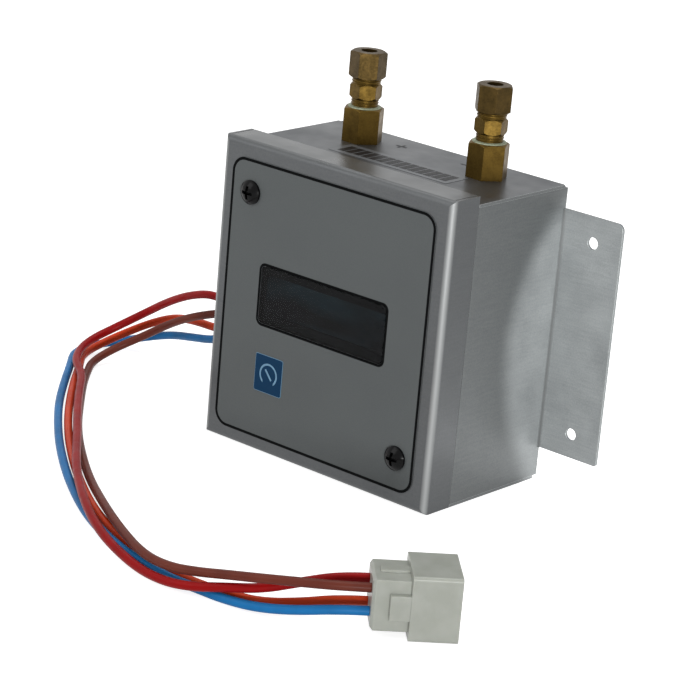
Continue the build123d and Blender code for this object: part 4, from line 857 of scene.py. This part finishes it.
@dataclass
class ScrewThread:
    """A run of screw thread round a turned piece, all in millimetres."""

    radius: float
    pitch: float
    bottom: float
    top: float
    depth: float
    steps_per_turn: int = 40
    ridge_sides: int = 4

    def build(self, name: str, x: float, material: bpy.types.Material, slot: str) -> bpy.types.Object:
        """Winds the thread's ridge round an upright axis.

        Args:
            name: The piece's name.
            x: The axis, in the fitting's row.
            material: The finish.
            slot: The record's material slot.

        Returns:
            slot: The record's material slot; not used.
        """
        tree, sizes = new_geometry_tree(name + "_tree", {
            "Turns": "NodeSocketFloat", "Radius": "NodeSocketFloat", "Height": "NodeSocketFloat",
            "Ridge": "NodeSocketFloat", "Base": "NodeSocketVector"})
        helix = add_node(tree, "GeometryNodeCurveSpiral", {"Resolution": self.steps_per_turn}, {
            "Rotations": sizes.outputs["Turns"], "Start Radius": sizes.outputs["Radius"],
            "End Radius": sizes.outputs["Radius"], "Height": sizes.outputs["Height"]})
        section = add_node(tree, "GeometryNodeCurvePrimitiveCircle", {"Resolution": self.ridge_sides},
                           {"Radius": sizes.outputs["Ridge"]})
        ridge = add_node(tree, "GeometryNodeCurveToMesh", {"Fill Caps": True},
                         {"Curve": helix, "Profile Curve": section})
        moved = add_node(tree, "GeometryNodeTransform",
                         links={"Geometry": ridge, "Translation": sizes.outputs["Base"]})
        end_tree(tree, moved, material)
        height = self.top - self.bottom - 2 * self.depth
        mesh = grown(name, tree, {
            "Turns": height / self.pitch, "Radius": self.radius * MM, "Height": height * MM,
            "Ridge": self.depth * MM,
            "Base": (x * MM, FITTING_Y * MM, (PLATE_TOP + self.bottom + self.depth) * MM)})
        return kept(name, mesh)


@dataclass
class GasFittings:
    """Two brass tube fittings on the top plate, with what joins them to the pressure cell."""

    brass: TurnedMetal = TurnedMetal("machined_brass", "#655024", tarnish="#4c3b19", roughness=0.42)
    shaded_nut_brass: TurnedMetal = TurnedMetal("shaded_nut_brass", "#4f3f22", tarnish="#3e321b", roughness=0.44)
    nut_thread: ScrewThread = field(default_factory=lambda: ScrewThread(
        radius=5.55, pitch=1.06, bottom=23.3, top=25.4, depth=0.3))
    pipe_thread: ScrewThread = field(default_factory=lambda: ScrewThread(
        radius=5.15, pitch=0.94, bottom=14.5, top=17.0, depth=0.3))

    def build(self) -> None:
        """Dresses the fittings and winds their visible threads."""
        # Free-cutting brass, a few years old: brown-gold, dull in patches, bright on its edges
        names = [f"{piece}_{side.value}" for side in Side
                 for piece in ("hose_barb", "coupling", "compression_body", "ferrule")]
        brass = dressed(self.brass, *names)
        # The same brass, darker and browner all over: a shaded copy that paints shade on the nuts
        dressed(self.shaded_nut_brass, "nut_left", "nut_right")
        # Unsintered fluoropolymer tape: a greyed white, creased where it was wound, with painted shade in the
        # creases' hollows
        dressed(WoundTape("sealing_tape", "#a9b096", painted_crease_shade="#858d74"),
                "thread_tape_left", "thread_tape_right")
        # Extruded silicone: milky, with light deep inside
        dressed(CloudyPlastic("silicone_tube", "#d9dbd4", depth="#cbcec6", glow=0.6),
                "sensor_tube_left", "sensor_tube_right")
        # Vulcanised fibre: dull red-brown
        dressed(Moulded("fibre_washer", "#5d2c20", shade="#6d3527", roughness=0.7), "barb_washers")
        for side, x in zip(Side, FITTING_XS):
            self.nut_thread.build(f"nut_thread_{side.value}", x, brass, "brass")
            self.pipe_thread.build(f"pipe_thread_{side.value}", x, brass, "brass")


@dataclass
class RowOfBlocks:
    """Small equal metal legs or pins in a straight row, in millimetres."""

    count: int
    start: Point
    step: Point
    size: Point

    def mesh(self, name: str, material: bpy.types.Material) -> bpy.types.Mesh:
        """Lays the blocks out.

        Args:
            name: The mesh's name.
            material: Its finish.

        Returns:
            The mesh.
        """
        tree, sizes = new_geometry_tree(name + "_tree", {
            "Count": "NodeSocketInt", "Start": "NodeSocketVector", "Step": "NodeSocketVector",
            "Size": "NodeSocketVector"})
        line = add_node(tree, "GeometryNodeMeshLine", {"mode": "OFFSET"}, {
            "Count": sizes.outputs["Count"], "Start Location": sizes.outputs["Start"],
            "Offset": sizes.outputs["Step"]})
        leg = add_node(tree, "GeometryNodeMeshCube", links={"Size": sizes.outputs["Size"]})
        row = add_node(tree, "GeometryNodeInstanceOnPoints",
                       links={"Points": line, "Instance": leg})
        end_tree(tree, row, material)
        scaled = {label: tuple(v * MM for v in value) for label, value in
                  (("Start", self.start), ("Step", self.step), ("Size", self.size))}
        return grown(name, tree, {"Count": self.count, **scaled})


@dataclass
class Electronics:
    """Boards, pressure cell and terminals inside the case."""

    leg_size: Point = (0.4, 0.8, 1.2)
    leg_step: Point = (1.27, 0.0, 0.0)
    leg_count: int = 7
    processor_leg_size: Point = (1.2, 0.8, 0.4)
    processor_leg_step: Point = (0.0, 0.0, 1.0)
    processor_leg_count: int = 8
    joint_size: Point = (0.7, 0.8, 0.7)
    joint_count: int = 16

    def build(self) -> None:
        """Dresses the inner pieces plainly and gives the chips their legs."""
        # Green solder mask over copper: glossy, with paler raised tracks
        dressed(CircuitBoard("main_board_mask", "#0f5230", track="#1f7244"), "main_board")
        # Bright zinc plate on steel: pale, slightly yellow, softly reflecting
        zinc = dressed(TurnedMetal("zinc_plated_steel", "#a9a79b", tarnish="#8f8d82", roughness=0.3),
                       "cover_standoffs", "display_studs", "display_spacers", "display_nuts",
                       "board_standoffs", "board_screws", "cell_screws", "terminal_screws")
        # Glass-filled polyester: a flat mid grey
        dressed(Moulded("grey_polyester_cell", "#6c7074", shade="#63676b"), "pressure_cell")
        # Epoxy moulding compound: charcoal and dull
        dressed(Moulded("black_moulding_compound", "#17181a", shade="#1f2022", roughness=0.55),
                "board_chips", "ribbon_sockets")
        # Shrunk PVC sleeve: blue-black, a little glossy
        dressed(Moulded("capacitor_sleeve", "#20242c", shade="#272c36", roughness=0.35), "board_capacitors")
        # Moulded polyester in bright blue
        dressed(Moulded("blue_trimmer_body", "#1d5fa8", shade="#1a5596"), "trim_pots")
        # Moulded nylon in leaf green
        dressed(Moulded("green_terminal_nylon", "#2f8f4a", shade="#2a8243"), "terminal_block")
        # Ribbed PVC: grey, with its first conductor marked red
        dressed(RibbonSheath("grey_ribbon_sheath", "#8c8f90", edge="#a3201c", edge_x_mm=-7.15),
                "ribbon_cable")
        # The leads' own PVC, in blue for all the tails
        dressed(WireInsulation("blue_tail_insulation", "#2a6aa8", shade="#225a92"), "lead_tails")
        front = MAIN_BOARD_Y - self.leg_size[1] / 2
        back = MAIN_BOARD_BACK_Y + self.joint_size[1] / 2
        processor = (self.processor_leg_count, self.processor_leg_step, self.processor_leg_size)
        chip = (self.leg_count, self.leg_step, self.leg_size)
        joints = (self.joint_count, self.leg_step, self.joint_size)
        # Each row begins at its own place and takes its count, step and size from its kind
        rows = {
            "processor_legs_left": ((-6.5, front, 84.5), processor),
            "processor_legs_right": ((6.5, front, 84.5), processor),
            "amplifier_legs_low": ((-21.8, front, 62.4), chip),
            "amplifier_legs_high": ((-21.8, front, 69.6), chip),
            "regulator_legs_low": ((20.2, front, 23.4), chip),
            "regulator_legs_high": ((20.2, front, 30.6), chip),
            "board_joints": ((-6.5, back, 22.0), joints),
        }
        for name, (start, (count, step, size)) in rows.items():
            row = RowOfBlocks(count, start, step, size)
            kept(name, row.mesh(name, zinc))


@dataclass
class Lead:
    """One lead outside the case. Its route has x, distance behind the cover's face and height."""

    colour: str
    finish: WireInsulation
    length: float
    route: list[Point]
    diameter: float = 3.4
    section_steps: int = 5
    path_steps: int = 10
    path_order: int = 3

    def build(self, with_pieces: list[bpy.types.Object]) -> bpy.types.Object:
        """Runs the lead along its route.

        Args:
            with_pieces: The pieces on the lead's far end; not used.

        Returns:
            The lead.
        """
        name = f"{self.colour}_lead"
        curve = bpy.data.curves.new(name, "CURVE")
        curve.dimensions = "3D"
        curve.bevel_depth = self.diameter / 2 * MM
        curve.bevel_resolution = self.section_steps
        curve.use_fill_caps = True
        spline = curve.splines.new("NURBS")
        spline.points.add(len(self.route) - 1)
        for point, (x, behind, z) in zip(spline.points, self.route):
            point.co = (x * MM, (behind + FRONT_Y) * MM, z * MM, 1.0)
        spline.order_u = self.path_order
        spline.use_endpoint_u = True
        spline.resolution_u = self.path_steps
        curve.materials.append(self.finish.build())
        piece = bpy.data.objects.new(name, curve)
        bpy.context.scene.collection.objects.link(piece)
        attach(piece, CASE_BODY)
        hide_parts(f"lead_{self.colour}")
        LOG.info("%s: %.0f mm", name, self.length)
        return piece


@dataclass
class Harness:
    """Four leads and the plug that they end in."""

    # Coloured PVC insulation: saturated, with a soft sheen along the top of each lead
    blue: Lead = field(default_factory=lambda: Lead(
        "blue", WireInsulation("blue_insulation", "#1f72b0", shade="#1a659e"), 452.3, [
            (-58.6, 35.5, 32.5), (-68, 35.5, 32.5), (-79, 37, 26.5), (-93, 40.5, 20.5), (-109, 45, 16.5),
            (-125.5, 50.5, 12), (-140.5, 51.5, 6.8), (-152.5, 45.5, 2.5), (-157, 33, 1.8),
            (-153.5, 20, 1.8), (-143.5, 9, 1.8), (-128, -9.5, 1.8), (-111, -28.5, 1.8),
            (-93.5, -45.5, 1.8), (-74.5, -62.5, 1.8), (-48.5, -83, 1.8), (-19, -102.5, 1.8),
            (5.5, -113.5, 1.8), (28.5, -119.5, 1.8), (43.5, -121.2, 1.8), (55.4, -120.2, 1.8),
            (66.6, -119.5, 1.8), (79.3, -117.2, 2.4), (92.3, -113, 4.6), (106.3, -104.5, 7.55),
            (113.3, -97.5, 7.55)]))
    orange: Lead = field(default_factory=lambda: Lead(
        "orange", WireInsulation("orange_insulation", "#d04420", shade="#c03c1a"), 434.0, [
            (-58.6, 40.5, 32.5), (-68, 40.5, 32.5), (-79, 42, 28.5), (-92.5, 43, 25), (-108, 46.5, 23.5),
            (-123.5, 50, 20.5), (-137, 49.5, 14.5), (-148, 43.5, 7.5), (-152.5, 32, 2.8),
            (-149, 20.5, 1.8), (-140.5, 11.5, 1.8), (-125, -7, 1.8), (-108, -25.5, 1.8),
            (-91, -42.5, 1.8), (-72, -59.5, 1.8), (-46, -80, 1.8), (-17, -99, 1.8), (7, -109.5, 1.8),
            (29.5, -115.5, 1.8), (44, -117.2, 1.8), (55.4, -116.7, 1.8), (66.6, -115, 1.8),
            (78.3, -112.2, 2.4), (89.8, -105.5, 4.6), (100.3, -98.5, 7.55), (107.3, -91.5, 7.55)]))
    brown: Lead = field(default_factory=lambda: Lead(
        "brown", WireInsulation("brown_insulation", "#6a3226", shade="#5e2a20"), 414.9, [
            (-58.6, 40.5, 37.5), (-68, 40.5, 37.5), (-78.5, 39, 36.5), (-91, 38, 33), (-105, 38, 27.5),
            (-119, 39.5, 20), (-131, 38.5, 12), (-139.5, 30, 5.8), (-140, 18, 2.2), (-132, 7.5, 1.8),
            (-122, -4.5, 1.8), (-105, -22.5, 1.8), (-88.5, -39.5, 1.8), (-69.5, -56.5, 1.8),
            (-43.5, -77, 2.2), (-15.5, -96.5, 4.8), (7, -110, 5.6), (28.5, -120.5, 5.9),
            (43.5, -122.8, 6.6), (55.4, -120.8, 8.2), (66.6, -118.5, 10.4), (78.8, -116.8, 12.9),
            (92.3, -112.5, 15), (106.3, -104.5, 16.05), (113.3, -97.5, 16.05)]))
    red: Lead = field(default_factory=lambda: Lead(
        "red", WireInsulation("red_insulation", "#96090b", shade="#87080a"), 437.8, [
            (-58.6, 35.5, 37.5), (-68, 35.5, 37.5), (-79, 36, 40.5), (-92, 37, 41.5), (-107, 39.5, 36.5),
            (-122, 43, 29), (-135.5, 44.5, 20.5), (-146, 38.5, 12.5), (-150, 27, 7.8), (-146, 15.5, 5.9),
            (-136, 4.5, 5.8), (-122.5, -4.5, 5.8), (-105.5, -23, 5.8), (-88.5, -40, 5.8),
            (-70.5, -57.2, 5.8), (-46.5, -81, 5.9), (-19, -103, 6.1), (4.5, -117, 4.4),
            (27.5, -123.5, 1.9), (43, -125.2, 1.9), (55.4, -124.2, 3.6), (66.6, -119.5, 6),
            (78.3, -113.2, 7.8), (89.3, -105.5, 12), (100.3, -98.5, 16.05), (107.3, -91.5, 16.05)]))

    def build(self) -> None:
        """Dresses the plug and runs the leads to it."""
        # Natural nylon: milky, faintly warm, with light that reaches a few millimetres in
        dressed(CloudyPlastic("natural_nylon", "#aaada5", depth="#a1a49b"), "plug_housing")
        # Tin-plated bronze: pale and bright
        dressed(TurnedMetal("tinned_contact", "#b9bab6", tarnish="#a2a39e", roughness=0.25), "plug_pins")
        plug = [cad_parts["plug_housing"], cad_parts["plug_pins"]]
        for lead in (self.blue, self.orange, self.brown, self.red):
            lead.build(plug)


@dataclass
class Lamp:
    """A soft studio lamp that points at the sensor."""

    name: str
    place: Point
    size: float
    power: float
    aim: Point = (0.0, 0.0, 0.06)

    def light(self) -> bpy.types.Light:
        """Makes the light of a soft square box.

        Returns:
            The light, without its power.
        """
        light = bpy.data.lights.new(self.name, "AREA")
        light.shape = "SQUARE"
        light.size = self.size
        return light

    def build(self) -> None:
        """Adds the lamp."""
        light = self.light()
        light.energy = self.power
        lamp = bpy.data.objects.new(self.name, light)
        # Behind the window only the white room is met, which keeps bright specks off the display
        lamp.visible_transmission = False
        towards = Vector(self.aim) - Vector(self.place)
        turn = towards.to_track_quat("-Z", "Y").to_matrix().to_4x4()
        lamp.matrix_world = Matrix.Translation(self.place) @ turn
        bpy.context.scene.collection.objects.link(lamp)


@dataclass
class SpotLamp(Lamp):
    """A lamp that lights a round patch with a narrow soft edge, for which its size stays small."""

    angle: float = 12.2
    blend: float = 0.1

    def light(self) -> bpy.types.Light:
        """Makes the cone of light.

        Returns:
            The light, without its power.
        """
        light = bpy.data.lights.new(self.name, "SPOT")
        light.shadow_soft_size = self.size
        light.spot_size = math.radians(self.angle)
        light.spot_blend = self.blend
        return light


@dataclass
class Studio:
    """White table, white surroundings, soft lamps and the photograph's camera."""

    floor_half: float = 8.0
    floor_colour: str = "#c8c8c8"
    # With the light that falls on it the floor comes to white, out to where the lamps fade
    floor_glow: float = 0.84
    ambient: float = 0.3
    nearest: float = 0.05
    farthest: float = 50.0
    lens: float = 145.34
    sensor: float = 36.0
    camera_place: Point = (0.6597, -0.81675, 0.3840)
    right: Point = (0.7513620, 0.6544558, 0.0845140)
    down: Point = (0.2644645, -0.1813063, -0.9471993)
    forward: Point = (-0.6045772, 0.7340406, -0.3093070)
    lamps: list[Lamp] = field(default_factory=lambda: [
        Lamp("key_lamp", (1.05, -0.95, 0.13), 0.2, 9.0),
        Lamp("front_lamp", (-0.7, -1.3, 1.0), 1.0, 6.5),
        Lamp("top_lamp", (-0.2, 0.2, 1.6), 1.2, 12.0),
        SpotLamp("ear_lamp", (0.703, -0.56, 0.25), 0.004, 142.0, (0.057, 0.144, 0.037)),
    ])

    def seen_directly(self, tree: bpy.types.NodeTree) -> bpy.types.NodeSocket:
        """Tells a look from light that falls on a surface.

        Args:
            tree: The tree of the floor or of the surroundings.

        Returns:
            1 for rays from the camera, a mirror or glass, and 0 for all others.
        """
        rays = add_node(tree, "ShaderNodeLightPath").outputs
        seen = rays["Is Camera Ray"]
        for kind in ("Is Glossy Ray", "Is Transmission Ray"):
            seen = add_node(tree, "ShaderNodeMath", {"operation": "MAXIMUM"},
                            {0: seen, 1: rays[kind]}).outputs[0]
        return seen

    def build_floor(self) -> None:
        """Lays the white table, which keeps a soft shadow."""
        half = self.floor_half
        mesh = bpy.data.meshes.new("table_top")
        mesh.from_pydata([(-half, -half, 0), (half, -half, 0), (half, half, 0), (-half, half, 0)], [],
                         [(0, 1, 2, 3)])
        floor = bpy.data.objects.new("table_top", mesh)
        bpy.context.scene.collection.objects.link(floor)
        material = bpy.data.materials.new("white_table")
        material.use_nodes = True
        tree = material.node_tree
        tree.nodes.clear()
        matt = add_node(tree, "ShaderNodeBsdfDiffuse", {"Color": linear(self.floor_colour)})
        strength = add_node(tree, "ShaderNodeMath", {"operation": "MULTIPLY", 1: self.floor_glow},
                            {0: self.seen_directly(tree)})
        glow = add_node(tree, "ShaderNodeEmission", {"Color": linear("#ffffff")}, {"Strength": strength})
        both = add_node(tree, "ShaderNodeAddShader", links={0: matt, 1: glow})
        add_node(tree, "ShaderNodeOutputMaterial", links={"Surface": both})
        mesh.materials.append(material)

    def build_surroundings(self) -> None:
        """Makes what the camera, metal and glass see white, and keeps the light on the sensor plain."""
        world = bpy.data.worlds.new("white_room")
        bpy.context.scene.world = world
        world.use_nodes = True
        tree = world.node_tree
        tree.nodes.clear()
        strength = add_node(tree, "ShaderNodeMapRange", {3: self.ambient, 4: 1.0},
                            {0: self.seen_directly(tree)})
        light = add_node(tree, "ShaderNodeBackground", {"Color": linear("#ffffff")}, {"Strength": strength})
        add_node(tree, "ShaderNodeOutputWorld", links={"Surface": light})

    def build_camera(self) -> None:
        """Stands the camera where the photograph was taken."""
        data = bpy.data.cameras.new("photograph_camera")
        data.lens = self.lens
        data.sensor_width = self.sensor
        data.clip_start = self.nearest
        data.clip_end = self.farthest
        camera = bpy.data.objects.new("photograph_camera", data)
        across, up, back = Vector(self.right), -Vector(self.down), -Vector(self.forward)
        turn = Matrix((across, up, back)).transposed().to_4x4()
        camera.matrix_world = Matrix.Translation(self.camera_place) @ turn
        bpy.context.scene.collection.objects.link(camera)
        bpy.context.scene.camera = camera

    def build(self) -> None:
        """Sets up the whole studio."""
        bpy.context.scene.view_settings.view_transform = "Standard"
        self.build_floor()
        self.build_surroundings()
        self.build_camera()
        for lamp in self.lamps:
            lamp.build()


def main() -> None:
    """Builds the studio and dresses the sensor, piece by piece."""
    logging.basicConfig(level=logging.INFO, format="%(name)s: %(message)s")
    Studio().build()
    Harness().build()
    Case().build()
    Window().build()
    GasFittings().build()
    Electronics().build()


if __name__ == "__main__":
    main()
